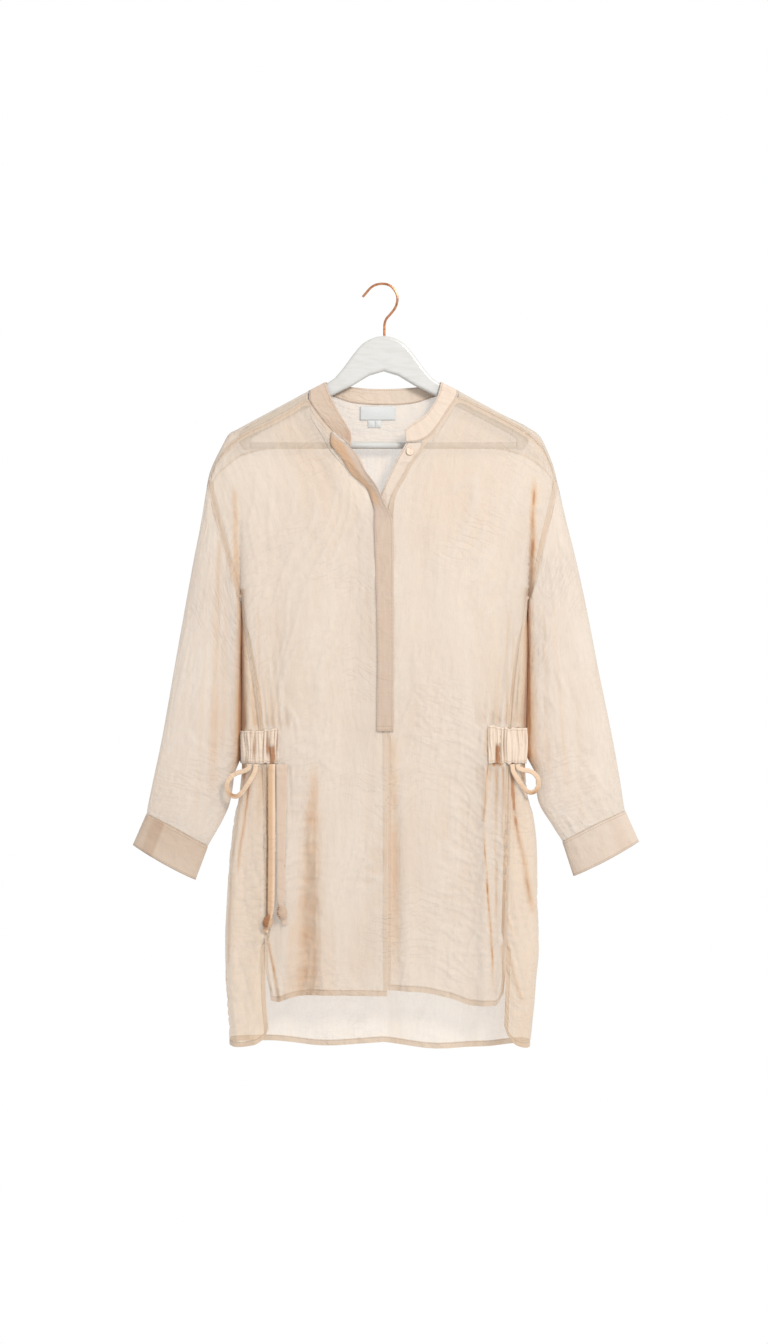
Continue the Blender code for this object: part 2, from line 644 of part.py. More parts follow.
def sheet(name, columns, rows, place, wall, material, collection, closed=False, left_out=None):
    """A sheet of cloth: a grid whose points are placed one by one, then given its wall."""
    grid = bmesh.new()
    bmesh.ops.create_grid(grid, x_segments=columns, y_segments=rows, size=0.5)
    if left_out:
        centres = {face: face.calc_center_median() for face in grid.faces}
        outside = [face for face, centre in centres.items()
                   if left_out(int((centre.x + 0.5) * columns), int((centre.y + 0.5) * rows))]
        bmesh.ops.delete(grid, geom=outside, context="FACES")
    for vertex in grid.verts:
        column = round((vertex.co.x + 0.5) * columns)
        row = round((vertex.co.y + 0.5) * rows)
        vertex.co = Vector(place(column, row)) * MM
    if closed:
        bmesh.ops.remove_doubles(grid, verts=grid.verts, dist=0.00001)
    mesh = bpy.data.meshes.new(name)
    grid.to_mesh(mesh)
    grid.free()
    mesh.shade_smooth()
    part = add_object(name, mesh, material, collection)
    solidify = part.modifiers.new("wall", "SOLIDIFY")
    solidify.thickness = wall * MM
    solidify.offset = 0.0
    return part


def build_front(side, material, collection):
    """One front, from the neckline and yoke seam to the hem and the vent."""
    hem_x, hem_z = side_name(side, "x"), side_name(side, "z")

    def top(share):
        return (read_table(FRONT_TOP, "share", hem_x, share) - SEAM_GAP * share,
                read_table(FRONT_TOP, "share", hem_z, share) - SEAM_GAP)

    def hem(share):
        return read_table(FRONT_HEM, "share", hem_x, share), read_table(FRONT_HEM, "share", hem_z, share)

    def meeting(share):
        z = blend(top(0.0)[1], hem(0.0)[1], share)
        return read_table(FRONT_MEETING, "z", hem_x, z), z

    def outer(share):
        z = blend(top(1.0)[1], hem(1.0)[1], share)
        if z > UNDERARM_Z:
            outward = armhole_outward(side, z) - SEAM_GAP / 2.0
            return min(outward, top(1.0)[0]), z
        seam = read_table(BODY, "z", side_name(side, "seam"), z) - SEAM_GAP
        to_hem = smooth_step((-920.0 - z) / 50.0)
        return blend(seam, hem(1.0)[0], to_hem), z

    def place(column, row):
        a, b = FRONT_COLUMN_SHARES[column], FRONT_ROW_SHARES[row]
        point = []
        for axis in (0, 1):
            ruled = blend(top(a)[axis], hem(a)[axis], b) + blend(meeting(b)[axis], outer(b)[axis], a)
            top_corners = blend(top(0.0)[axis], top(1.0)[axis], a)
            hem_corners = blend(hem(0.0)[axis], hem(1.0)[axis], a)
            point.append(ruled - blend(top_corners, hem_corners, b))
        outward, z = point
        gathered = GATHER_START < column < len(FRONT_COLUMN_SHARES) - 1
        wave = gathers(side, column, z) if gathered else 0.0
        return side * outward, front_y(side, outward, z, wave), z

    return sheet(f"front_{SIDES[side]}", len(FRONT_COLUMN_SHARES) - 1, len(FRONT_ROW_SHARES) - 1, place,
                 CLOTH_WALL, material, collection)


def build_back(material, collection):
    """The back, from the yoke seam to the hem, wrapped round both edges to the seams in front."""
    last = len(BACK_HALF_SHARES) - 1

    def place(column, row):
        side = RIGHT_ARM if column < last else LEFT_ARM
        index = abs(column - last)
        share, drop = BACK_HALF_SHARES[index], BACK_ROW_SHARES[row]
        top_z = read_table(BACK_TOP, "share", "z", share) - SEAM_GAP / 2.0
        hem_z = read_table(BACK_HEM, "share", side_name(side, "z"), share)
        z = blend(top_z, hem_z, drop)
        if z > UNDERARM_Z:
            edge_gap = 2.0 * SEAM_GAP
            widest = armhole_outward(side, z) - edge_gap
            top_outward = read_table(BACK_TOP, "share", side_name(side, "x"), share) - SEAM_GAP * share
            below_top = smooth_step(drop / 0.12)
            outward = blend(top_outward, share * widest, below_top) if index < last else widest
            return side * outward, back_y(side, outward, z), z
        seam = seam_travel(side, z) - blend(1.2, SEAM_GAP, smooth_step((UNDERARM_Z - z) / 60.0))
        quarter = quarter_wrap(side, z)
        inner = quarter + body_edge(side, z) - EDGE_REACH
        travel = blend(inner, -seam, share)
        wave = gathers(side, index - 4, z) if 4 < index < last else 0.0
        return wrapped_point(side, z, travel, stand=wave)

    return sheet("back", 2 * last, len(BACK_ROW_SHARES) - 1, place, CLOTH_WALL, material, collection)


def build_yoke(material, collection):
    """The yoke: across the back below the collar, and over each shoulder to the front seam."""
    neck_columns, front_rows, back_rows = len(YOKE_NECK_COLUMNS), 4, 6
    last = neck_columns + len(YOKE_SHOULDER_SHARES) - 1
    back_neck = [WoodPoint(abs(point.seam_x), point.seam_z) for point in COLLAR if point.face >= 0]
    half = len(back_neck) // 2
    necks = {RIGHT_ARM: back_neck[half::-1], LEFT_ARM: back_neck[half:]}

    def place(column, row):
        side = RIGHT_ARM if column < last else LEFT_ARM
        index = abs(column - last)
        on_shoulder = index >= neck_columns
        if on_shoulder:
            share = YOKE_SHOULDER_SHARES[index - neck_columns]
            outward = read_table(FRONT_TOP, "share", side_name(side, "x"), share)
            top_z = read_table(OUTLINE, side_name(side, "x"), side_name(side, "z"), outward)
            if share == 1.0:
                outward -= 3.0 * SEAM_GAP
        else:
            outward = YOKE_NECK_COLUMNS[index]
            top_z = read_table(necks[side], "outward", "z", outward) - 2.0 * SEAM_GAP
        if row < front_rows:
            front_z = read_table(FRONT_TOP, side_name(side, "x"), side_name(side, "z"), outward)
            z = blend(top_z, front_z, (1.0 - row / front_rows) ** 2)
            return side * outward, front_y(side, outward, z), z
        back_z = read_table(BACK_TOP, side_name(side, "x"), "z", outward) + SEAM_GAP / 2.0
        step = (row - front_rows) / back_rows
        z = blend(top_z, back_z, blend(step, step ** 2, smooth_step((outward - 50.0) / 50.0)))
        if row == front_rows and on_shoulder:
            return side * outward, 0.0, z
        return side * outward, back_y(side, outward, z), z

    def open_neck(column, row):
        return row < front_rows and abs(column + 0.5 - last) < neck_columns

    return sheet("yoke", 2 * last, front_rows + back_rows, place, CLOTH_WALL, material, collection,
                 left_out=open_neck)


def build_sleeve(side, material, collection):
    """One sleeve: flattened rings from the armhole seam to the cuff seam."""
    sections = SLEEVES[side]

    def place(column, row):
        share = row / SLEEVE_ROWS
        angle = 2.0 * math.pi * column / SLEEVE_SEGMENTS
        outer_x, outer_z, inner_x, inner_z, depth = read_curve(
            sections, share, "outer_x", "outer_z", "inner_x", "inner_z", "depth")
        across = (1.0 - math.cos(angle)) / 2.0
        outward, z = blend(outer_x, inner_x, across), blend(outer_z, inner_z, across)
        long_folds = math.sin(math.pi * share) * SLEEVE_FOLD_DEPTH
        wave = long_folds * math.cos(math.pi * column) * math.sin(angle) ** 2
        y = -math.sin(angle) * depth - math.copysign(wave, math.sin(angle))
        if row < 4:
            at_seam = front_y(side, outward, z) if math.sin(angle) > 0.0 else back_y(side, outward, z)
            if abs(math.sin(angle)) < 0.01:
                at_seam = 0.0
            y = blend(at_seam, y, smooth_step(row / 4.0))
        if row == 0:
            outward += blend(SEAM_GAP, UNDERARM_GAP, smooth_step((across - 0.6) / 0.3))
        return side * outward, y, z

    return sheet(f"sleeve_{SIDES[side]}", SLEEVE_SEGMENTS, SLEEVE_ROWS, place, CLOTH_WALL, material,
                 collection, closed=True)


def build_cuff(side, material, collection):
    """One cuff: a short flat ring beyond the sleeve's end."""
    start, end = SLEEVES[side][-1], CUFF_ENDS[side]
    rows = 3

    def place(column, row):
        share = blend(0.024, 1.0, row / rows)
        angle = 2.0 * math.pi * column / SLEEVE_SEGMENTS
        across = (1.0 - math.cos(angle)) / 2.0
        outer = blend(start.outer_x, end.outer_x, share), blend(start.outer_z, end.outer_z, share)
        inner = blend(start.inner_x, end.inner_x, share), blend(start.inner_z, end.inner_z, share)
        depth = blend(start.depth, end.depth, share)
        outward, z = blend(outer[0], inner[0], across), blend(outer[1], inner[1], across)
        return side * outward, -math.sin(angle) * depth, z

    return sheet(f"cuff_{SIDES[side]}", SLEEVE_SEGMENTS, rows, place, CUFF_WALL, material,
                 collection, closed=True)


def build_collar(material, collection):
    """The band collar, standing on the neckline."""
    rows = 3

    def place(column, row):
        share, up = column / COLLAR_COLUMNS, row / rows
        seam_x, seam_z, top_x, top_z, face = read_curve(
            COLLAR, share, "seam_x", "seam_z", "top_x", "top_z", "face")
        x, z = blend(seam_x, top_x, up), blend(seam_z, top_z, up)
        side = RIGHT_ARM if x < 0.0 else LEFT_ARM
        if face < 0.0:
            depth = swell(outline_distance(side, abs(x), z), FRONT_GROWTH, FRONT_DEPTH)
        else:
            depth = swell(outline_distance(side, abs(x), z), BACK_GROWTH, BACK_DEPTH)
        return x, depth * min(max(RIDGE_CROSSING * face, -1.0), 1.0), z

    return sheet("collar", COLLAR_COLUMNS, rows, place, BAND_WALL, material, collection)


def build_placket(name, sections, lift, material, collection):
    """One placket band, laid on or under the fronts' edges."""
    columns = 3

    def place(column, row):
        share, across = row / PLACKET_ROWS, column / columns
        outer_x, outer_z, inner_x, inner_z, stand = read_curve(
            sections, share, "outer_x", "outer_z", "inner_x", "inner_z", "stand")
        x, z = blend(outer_x, inner_x, across), blend(outer_z, inner_z, across)
        side = RIGHT_ARM if x < 0.0 else LEFT_ARM
        return x, front_y(side, abs(x), z, lift + stand * across), z

    return sheet(name, columns, PLACKET_ROWS, place, CLOTH_WALL, material, collection)


def build_casing(side, material, collection):
    """The casing: a gathered channel from the front, round the body's edge, to the back."""
    casing = CASINGS[side]
    rows = 4

    def place(column, row):
        share = column / CASING_COLUMNS
        z = blend(casing.top_z, casing.bottom_z, row / rows)
        quarter = quarter_wrap(side, z)
        start = -(quarter + body_edge(side, z) - EDGE_REACH - casing.front_x)
        travel = blend(start, casing.back_reach, share)
        puff = math.sin(math.pi * row / rows)
        wave = CASING_WAVE * (1.0 - math.cos(2.0 * math.pi * CASING_WAVES * share)) / 2.0
        return wrapped_point(side, z, travel, CASING_LIFT, wave * puff)

    return sheet(f"casing_{SIDES[side]}", CASING_COLUMNS, rows, place, CLOTH_WALL, material, collection)


def build_tie(name, material, collection):
    """A drawn tape's free end, with the knot tied near its tip."""
    sections = TIES[name]
    rings, around = 26, 8
    tape = bmesh.new()
    bmesh.ops.create_grid(tape, x_segments=around, y_segments=rings, size=0.5)
    for vertex in tape.verts:
        angle = 2.0 * math.pi * round((vertex.co.x + 0.5) * around) / around
        share = round((vertex.co.y + 0.5) * rings) / rings
        x, z, width, thickness = read_curve(sections, share, "x", "z", "width", "thickness")
        knotted = smooth_step((thickness - TAPE_WALL) / 5.0)
        under = min(front_y(RIGHT_ARM, abs(x) + reach, z) for reach in (-width / 2.0, 0.0, width / 2.0))
        y = under - blend(TIE_STAND, KNOT_STAND, knotted)
        side_step = math.copysign(abs(math.cos(angle)) ** 0.5, math.cos(angle)) * width / 2.0
        depth_step = math.sin(angle) * thickness / 2.0
        vertex.co = Vector((x + side_step, y + depth_step, z)) * MM
    bmesh.ops.remove_doubles(tape, verts=tape.verts, dist=0.00001)
    bmesh.ops.holes_fill(tape, edges=[edge for edge in tape.edges if edge.is_boundary])
    bmesh.ops.recalc_face_normals(tape, faces=tape.faces)
    mesh = bpy.data.meshes.new(name)
    tape.to_mesh(mesh)
    tape.free()
    return add_object(name, mesh, material, collection)


def build_wire(name, points, radius, material, collection):
    """A wire or cord along a smooth line through its points."""
    curve = bpy.data.curves.new(name, "CURVE")
    curve.dimensions = "3D"
    curve.bevel_depth = radius * MM
    curve.bevel_resolution = 2
    curve.use_fill_caps = True
    spline = curve.splines.new("POLY")
    spline.points.add(len(points) - 1)
    for spline_point, place in zip(spline.points, points):
        spline_point.co = (*(value * MM for value in place), 1.0)
    curve.materials.append(material)
    wire = bpy.data.objects.new(name, curve)
    collection.objects.link(wire)
    return wire


def build_hanger(wood, copper, collection):
    """The flat wooden body, its round bar and its wire hook."""
    outline = [(p.outward, p.z) for p in WOOD_HALF]
    outline += [(-p.outward, p.z) for p in WOOD_HALF[-2:0:-1]]
    curve = bpy.data.curves.new("hanger_body", "CURVE")
    curve.dimensions = "2D"
    curve.fill_mode = "BOTH"
    curve.extrude = WOOD_THICKNESS / 2.0 * MM
    spline = curve.splines.new("POLY")
    spline.points.add(len(outline) - 1)
    for spline_point, (x, z) in zip(spline.points, outline):
        spline_point.co = (x * MM, z * MM, 0.0, 1.0)
    spline.use_cyclic_u = True
    curve.materials.append(wood)
    body = bpy.data.objects.new("hanger_body", curve)
    body.rotation_euler = (math.pi / 2.0, 0.0, 0.0)
    collection.objects.link(body)
    weld = body.modifiers.new("weld", "WELD")
    weld.merge_threshold = 0.00001
    flat_faces = body.modifiers.new("flat_faces", "DECIMATE")
    flat_faces.decimate_type = "DISSOLVE"
    flat_faces.angle_limit = math.radians(0.5)
    rounding = body.modifiers.new("rounding", "BEVEL")
    rounding.width = WOOD_EDGE * MM
    rounding.segments = 3
    rounding.limit_method = "ANGLE"
    rounding.angle_limit = math.radians(60.0)

    bar = bmesh.new()
    bmesh.ops.create_cone(bar, cap_ends=True, segments=16, radius1=BAR_DIAMETER / 2.0 * MM,
                          radius2=BAR_DIAMETER / 2.0 * MM, depth=2.0 * BAR_HALF_LENGTH * MM)
    mesh = bpy.data.meshes.new("hanger_bar")
    bar.to_mesh(mesh)
    bar.free()
    part = add_object("hanger_bar", mesh, wood, collection)
    part.rotation_euler = (0.0, math.pi / 2.0, 0.0)
    part.location = Vector((0.0, 0.0, BAR_Z)) * MM

    steps = 34
    route = [read_curve(HOOK, step / steps, "x", "z") for step in range(steps + 1)]
    build_wire("hanger_hook", [(x, 0.0, z) for x, z in route], WIRE_RADIUS, copper, collection)


def build_loop(side, material, collection):
    """The loop of drawn tape that hangs out below a casing at the body's edge."""
    steps = 26
    route = [read_curve(LOOPS[side], step / steps, "outward", "y", "z") for step in range(steps + 1)]
    points = [(side * outward, y, z) for outward, y, z in route]
    return build_wire(f"loop_{SIDES[side]}", points, LOOP_RADIUS, material, collection)


def build_button(name, centre, facing, material, collection):
    """A flat sewn button."""
    disc = bmesh.new()
    bmesh.ops.create_cone(disc, cap_ends=True, segments=20, radius1=BUTTON_RADIUS * MM,
                          radius2=BUTTON_RADIUS * MM, depth=BUTTON_THICKNESS * MM)
    mesh = bpy.data.meshes.new(name)
    disc.to_mesh(mesh)
    disc.free()
    button = add_object(name, mesh, material, collection)
    button.rotation_euler = Vector(facing).to_track_quat("Z", "Y").to_euler()
    button.location = Vector(centre) * MM
    return button


def build_labels(material, collection):
    """The blank label and its tabs, on the inside of the yoke below the collar."""
    for label in LABELS:
        columns, rows = 4, 2

        def place(column, row):
            x = blend(label.left, label.right, column / columns)
            z = blend(label.top, label.bottom, row / rows)
            side = RIGHT_ARM if x < 0.0 else LEFT_ARM
            inside = -(CLOTH_WALL + LABEL_WALL) / 2.0 - SEAM_GAP
            return x, back_y(side, abs(x), z, inside), z

        sheet(label.name, columns, rows, place, LABEL_WALL, material, collection)


def build_tunic():
    for leftover in list(bpy.data.objects):
        bpy.data.objects.remove(leftover)
    collection = bpy.data.collections.new("tunic_on_hanger")
    bpy.context.scene.collection.children.link(collection)
    cloth = new_material("cloth", CLOTH_COLOUR, 0.85)
    band = new_material("banded_cloth", BAND_COLOUR, 0.85)
    label = new_material("label", LABEL_COLOUR, 0.6)
    wood = new_material("painted_wood", WOOD_COLOUR, 0.45)
    copper = new_material("copper_wire", COPPER_COLOUR, 0.25, 1.0)
    shell = new_material("button", BUTTON_COLOUR, 0.3)

    build_back(cloth, collection)
    build_yoke(cloth, collection)
    build_collar(band, collection)
    build_placket("placket_top", TOP_PLACKET, LAYER_LIFT, band, collection)
    build_placket("placket_under", UNDER_PLACKET, -LAYER_LIFT, band, collection)
    for side in SIDES:
        build_front(side, cloth, collection)
        build_sleeve(side, cloth, collection)
        build_cuff(side, band, collection)
        build_casing(side, band, collection)
        build_loop(side, band, collection)
        start, end = SLEEVES[side][-1], CUFF_ENDS[side]
        middle_x = blend(start.outer_x + end.outer_x, start.inner_x + end.inner_x, 0.3) / 2.0
        middle_z = blend(start.outer_z + end.outer_z, start.inner_z + end.inner_z, 0.3) / 2.0
        behind = end.depth + CUFF_WALL / 2.0 + BUTTON_THICKNESS / 2.0
        build_button(f"cuff_button_{SIDES[side]}", (side * middle_x, behind, middle_z), (0.0, 1.0, 0.0),
                     shell, collection)
    for name in TIES:
        build_tie(name, band, collection)
    band_y = front_y(LEFT_ARM, NECK_BUTTON_X, NECK_BUTTON_Z, -LAYER_LIFT)
    button_y = band_y - CLOTH_WALL / 2.0 - SEAM_GAP - BUTTON_THICKNESS / 2.0
    build_button("neck_button", (NECK_BUTTON_X, button_y, NECK_BUTTON_Z), (0.0, -1.0, 0.0),
                 shell, collection)
    build_labels(label, collection)
    build_hanger(wood, copper, collection)


build_tunic()
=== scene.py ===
"""A thin, wrinkled tunic top hanging flat on a painted wooden hanger.

Lengths are in millimetres until a mesh is made. X runs to the right, -Y comes out of the front,
+Z is up, and the origin is the underside of the hook's top. "Outward" lengths are measured from
the middle of the hanger, on the side of the wearer's right arm (at -X) or left arm (at +X).
"""

import math
from collections import namedtuple

import bmesh
import bpy
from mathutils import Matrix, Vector, kdtree, noise


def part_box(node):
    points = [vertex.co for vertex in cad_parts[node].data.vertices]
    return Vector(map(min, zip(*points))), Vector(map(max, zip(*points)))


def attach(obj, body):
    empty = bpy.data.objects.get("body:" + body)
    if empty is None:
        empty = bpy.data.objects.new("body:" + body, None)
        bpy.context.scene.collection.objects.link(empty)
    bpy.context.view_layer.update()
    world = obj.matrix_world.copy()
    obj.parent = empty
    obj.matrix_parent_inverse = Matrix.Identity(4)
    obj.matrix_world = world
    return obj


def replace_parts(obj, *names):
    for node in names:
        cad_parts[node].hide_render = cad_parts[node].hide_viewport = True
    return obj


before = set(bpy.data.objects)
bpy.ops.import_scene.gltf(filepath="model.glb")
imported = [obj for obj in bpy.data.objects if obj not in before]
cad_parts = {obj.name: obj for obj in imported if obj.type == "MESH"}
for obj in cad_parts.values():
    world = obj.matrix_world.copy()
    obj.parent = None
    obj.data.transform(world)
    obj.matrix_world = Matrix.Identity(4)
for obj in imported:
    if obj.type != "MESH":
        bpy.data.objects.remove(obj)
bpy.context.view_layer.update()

MM = 0.001

# The studio: a level camera far in front, a white surround that also lights the cloth evenly,
# a soft key light from above the viewer's right, and a pale floor below the garment.
PHOTO_WIDTH, PHOTO_HEIGHT = 768, 1344
PIXEL = 1.36
HOOK_PIXEL = (383.5, 285.0)
CAMERA_DISTANCE = 3400.0
SENSOR = 36.0
FLOOR_Z = -2200.0
FLOOR_REACH = 2600.0
KEY_PLACE, KEY_AIM = (1250.0, -2100.0, 1000.0), (0.0, 0.0, -550.0)
KEY_POWER, KEY_SIZE = 78.0, 0.7

middle_x = (PHOTO_WIDTH / 2 - HOOK_PIXEL[0]) * PIXEL
middle_z = (HOOK_PIXEL[1] - PHOTO_HEIGHT / 2) * PIXEL
camera_data = bpy.data.cameras.new("camera")
camera_data.sensor_fit = "VERTICAL"
camera_data.sensor_height = SENSOR
camera_data.lens = SENSOR * CAMERA_DISTANCE / (PHOTO_HEIGHT * PIXEL)
camera = bpy.data.objects.new("camera", camera_data)
camera.location = Vector((middle_x, -CAMERA_DISTANCE, middle_z)) * MM
camera.rotation_euler = (math.pi / 2.0, 0.0, 0.0)
bpy.context.collection.objects.link(camera)
bpy.context.scene.camera = camera

world = bpy.data.worlds.new("white_surround")
world.use_nodes = True
world.node_tree.nodes["Background"].inputs["Color"].default_value = (1.0, 1.0, 1.0, 1.0)
world.node_tree.nodes["Background"].inputs["Strength"].default_value = 1.0
bpy.context.scene.world = world
bpy.context.scene.view_settings.view_transform = "Standard"

key_data = bpy.data.lights.new("key", "AREA")
key_data.energy = KEY_POWER
key_data.size = KEY_SIZE
key = bpy.data.objects.new("key", key_data)
key.location = Vector(KEY_PLACE) * MM
key.rotation_euler = (Vector(KEY_AIM) - Vector(KEY_PLACE)).to_track_quat("-Z", "Y").to_euler()
bpy.context.collection.objects.link(key)

floor_mesh = bpy.data.meshes.new("floor")
floor_grid = bmesh.new()
bmesh.ops.create_grid(floor_grid, x_segments=1, y_segments=1, size=FLOOR_REACH * MM)
floor_grid.to_mesh(floor_mesh)
floor_grid.free()
floor = bpy.data.objects.new("floor", floor_mesh)
floor.location = (0.0, 0.0, FLOOR_Z * MM)
bpy.context.collection.objects.link(floor)


# The hanger: flat sawn wood, rounded along its edges and painted white, with a round bar between
# its ends. The CAD solids have its true shape, so they stay and take a satin paint.
class Value:
    """A number that changes over a surface: sums and products of it become Math nodes."""

    def __init__(self, finish, socket):
        self.finish, self.socket = finish, socket

    def math(self, operation, *others):
        return self.finish.node("ShaderNodeMath", {"operation": operation}, dict(enumerate((self, *others))))

    def __add__(self, other):
        return self.math("ADD", other)

    def __sub__(self, other):
        return self.math("SUBTRACT", other)

    def __mul__(self, other):
        return self.math("MULTIPLY", other)

    def __rsub__(self, other):
        return (self * -1.0) + other

    __radd__, __rmul__ = __add__, __mul__


class Finish:
    """A material being mixed: one call adds any node, its settings first and then its sockets."""

    def __init__(self, name, roughness, metallic=0.0, **sockets):
        self.material = bpy.data.materials.new(name)
        self.material.use_nodes = True
        self.shader = self.material.node_tree.nodes["Principled BSDF"]
        self.put(self.shader, {"Roughness": roughness, "Metallic": metallic, **sockets})

    def put(self, node, sockets):
        for key, value in sockets.items():
            if isinstance(value, Value):
                self.material.node_tree.links.new(value.socket, node.inputs[key])
            else:
                node.inputs[key].default_value = value

    def node(self, kind, settings=None, sockets=None, output=0):
        node = self.material.node_tree.nodes.new(kind)
        for key, value in (settings or {}).items():
            setattr(node, key, value)
        self.put(node, sockets or {})
        return Value(self, node.outputs[output])

    def mix(self, share, start, end):
        """Mix two colours by a share of the second."""
        return self.node("ShaderNodeMix", {"data_type": "RGBA"}, {0: share, 6: start, 7: end}, output=2)

    def ramp(self, value, low, high):
        """0 below one value, 1 above another, and smooth between."""
        return self.node("ShaderNodeMapRange", {"interpolation_type": "SMOOTHSTEP"},
                         {0: value, 1: low, 2: high})

    def place(self):
        return self.node("ShaderNodeTexCoord", output="Object")

    def noise(self, vector, scale, detail=2.0):
        return self.node("ShaderNodeTexNoise", None, {"Vector": vector, "Scale": scale, "Detail": detail})

    def stretched(self, vector, scale, turn=0.0):
        """A place scaled along each axis and turned about Z."""
        sockets = {"Vector": vector, "Rotation": (0.0, 0.0, turn), "Scale": scale}
        return self.node("ShaderNodeMapping", None, sockets)

    def relief(self, height):
        """Bump the surface by a height in metres."""
        self.put(self.shader, {"Normal": self.node("ShaderNodeBump", None, {
            "Strength": 1.0, "Distance": 1.0, "Height": height})})


def linear(red, green, blue):
    """A colour as the eye reads it on a screen, from 0 to 255, in linear light."""
    return (*(((channel / 255.0 + 0.055) / 1.055) ** 2.4 for channel in (red, green, blue)), 1.0)


PAINT, PAINT_WORN = linear(176, 175, 172), linear(169, 167, 162)

paint = Finish("painted_wood", 0.42, **{"Coat Weight": 0.15})
brushed = paint.noise(paint.stretched(paint.place(), (1.0, 1.0, 6.0)), 40.0, 4.0)
paint.put(paint.shader, {"Base Color": paint.mix(paint.ramp(brushed, 0.35, 0.75), PAINT, PAINT_WORN)})
paint.put(paint.shader, {"Roughness": brushed * 0.2 + 0.34})
paint.relief(brushed * 0.00012)
for wooden in ("hanger_body", "hanger_bar"):
    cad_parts[wooden].data.materials.clear()
    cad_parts[wooden].data.materials.append(paint.material)


# The hook: bent steel wire with a thin copper-coloured plating, screwed into the wood.
COPPER, COPPER_DULL = linear(196, 136, 98), linear(150, 98, 66)

plating = Finish("copper_wire", 0.24, 1.0)
tarnish = plating.noise(plating.place(), 260.0, 3.0)
dulled = plating.ramp(tarnish, 0.4, 0.7)
plating.put(plating.shader, {"Base Color": plating.mix(dulled, COPPER, COPPER_DULL)})
plating.put(plating.shader, {"Roughness": tarnish * 0.2 + 0.16})
plating.relief(tarnish * 0.00002)
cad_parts["hanger_hook"].data.materials.clear()
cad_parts["hanger_hook"].data.materials.append(plating.material)


# The back: one wide panel of thin woven viscose. It hangs behind, turns round both edges of the
# body and comes forward to the side seams, with small gathers at the waist and a narrow hem.
RIDGE_RADIUS = 8.5
FRONT_DEPTH = 26.0
FRONT_GROWTH = 0.20
BACK_DEPTH = 17.0
BACK_GROWTH = 0.12
EDGE_REACH = 14.0
UNDERARM_Z = -428.0
RECESS_HEIGHT = 150.0
GATHER_DEPTH = 3.6
GATHER_SPREAD = 42.0
GATHER_START = 8
ALLOWANCE = 8.0
HEM = 8.0
# How far the fronts and the back reach up under the yoke's seams
SEAM_OVERLAP = 3.0

RIGHT_ARM = -1
LEFT_ARM = 1
SIDES = {RIGHT_ARM: "right", LEFT_ARM: "left"}


def table(columns, rows):
    """Rows of numbers that are read by their columns' names."""
    row = namedtuple("Row", columns)
    return tuple(row(*numbers) for numbers in rows)


# The ridge over the shoulders and down the sleeves' outer edges
OUTLINE = table("right_x right_z left_x left_z", (
    (0, -89.8, 0, -89.8),
    (102, -144.2, 102, -144.2),
    (162.8, -176.8, 160, -175.2),
    (197.9, -195.8, 201, -196.5),
    (210.1, -202.6, 212.5, -205.5),
    (220, -220, 223, -226),
    (230.5, -240.7, 232, -250),
    (237.3, -258.4, 237, -272),
    (241.8, -284.2, 241, -290),
    (258.1, -374, 261.8, -374),
    (299.9, -609.3, 310, -609.3),
    (321.6, -719.4, 328.4, -716),
))
# The body's edges, and the seams that lie forward of them, at each height
BODY = table("z right_edge left_edge right_seam left_seam", (
    (-400, 194.6, 197.2, 194.6, 197.2),
    (-428, 194.6, 197.2, 194.2, 196.6),
    (-455, 193.8, 196.8, 191, 192.8),
    (-482.8, 193.1, 196.4, 186.6, 188.6),
    (-537.2, 192.4, 195.4, 178.2, 181.6),
    (-609.3, 192.4, 193.6, 169.3, 175.4),
    (-652.8, 192.6, 192.6, 165.6, 173.4),
    (-690.9, 197.2, 195.4, 163.4, 172.4),
    (-722.2, 203.3, 204, 162.2, 171.8),
    (-761.6, 208.8, 208.1, 161.4, 170.8),
    (-836.4, 212.8, 209.4, 160.8, 168.4),
    (-899, 215, 210.8, 160.3, 166.4),
    (-946.6, 214.5, 206.4, 159.4, 165),
    (-977.8, 212.3, 204, 158.4, 163.9),
    (-1013.2, 209.7, 200.2, 155.4, 163),
    (-1050, 208.8, 196.5, 155.4, 163),
))
BACK_TOP = table("share right_x left_x z", (
    (0.00, 0, 0, -219),
    (0.45, 102.4, 102.4, -219.4),
    (0.64, 152.3, 150, -222),
    (0.80, 191.1, 188, -231),
    (0.88, 212, 211, -245),
    (0.96, 227, 226.5, -260),
    (1.00, 236, 233.8, -274),
))
BACK_HEM = table("share right_z left_z", (
    (0.00, -1032.4, -1032.4),
    (0.30, -1036.5, -1040.5),
    (0.55, -1029.8, -1038),
    (0.75, -1031, -1032.8),
    (0.86, -1033, -1034.5),
    (0.93, -1030, -1031),
    (0.98, -1021, -1018),
    (1.00, -1008, -1004),
))
Casing = namedtuple("Casing", "top_z bottom_z front_x back_reach")
CASINGS = {
    RIGHT_ARM: Casing(-606.0, -650.0, 141.8, 52.0),
    LEFT_ARM: Casing(-602.0, -650.0, 141.6, 52.0),
}
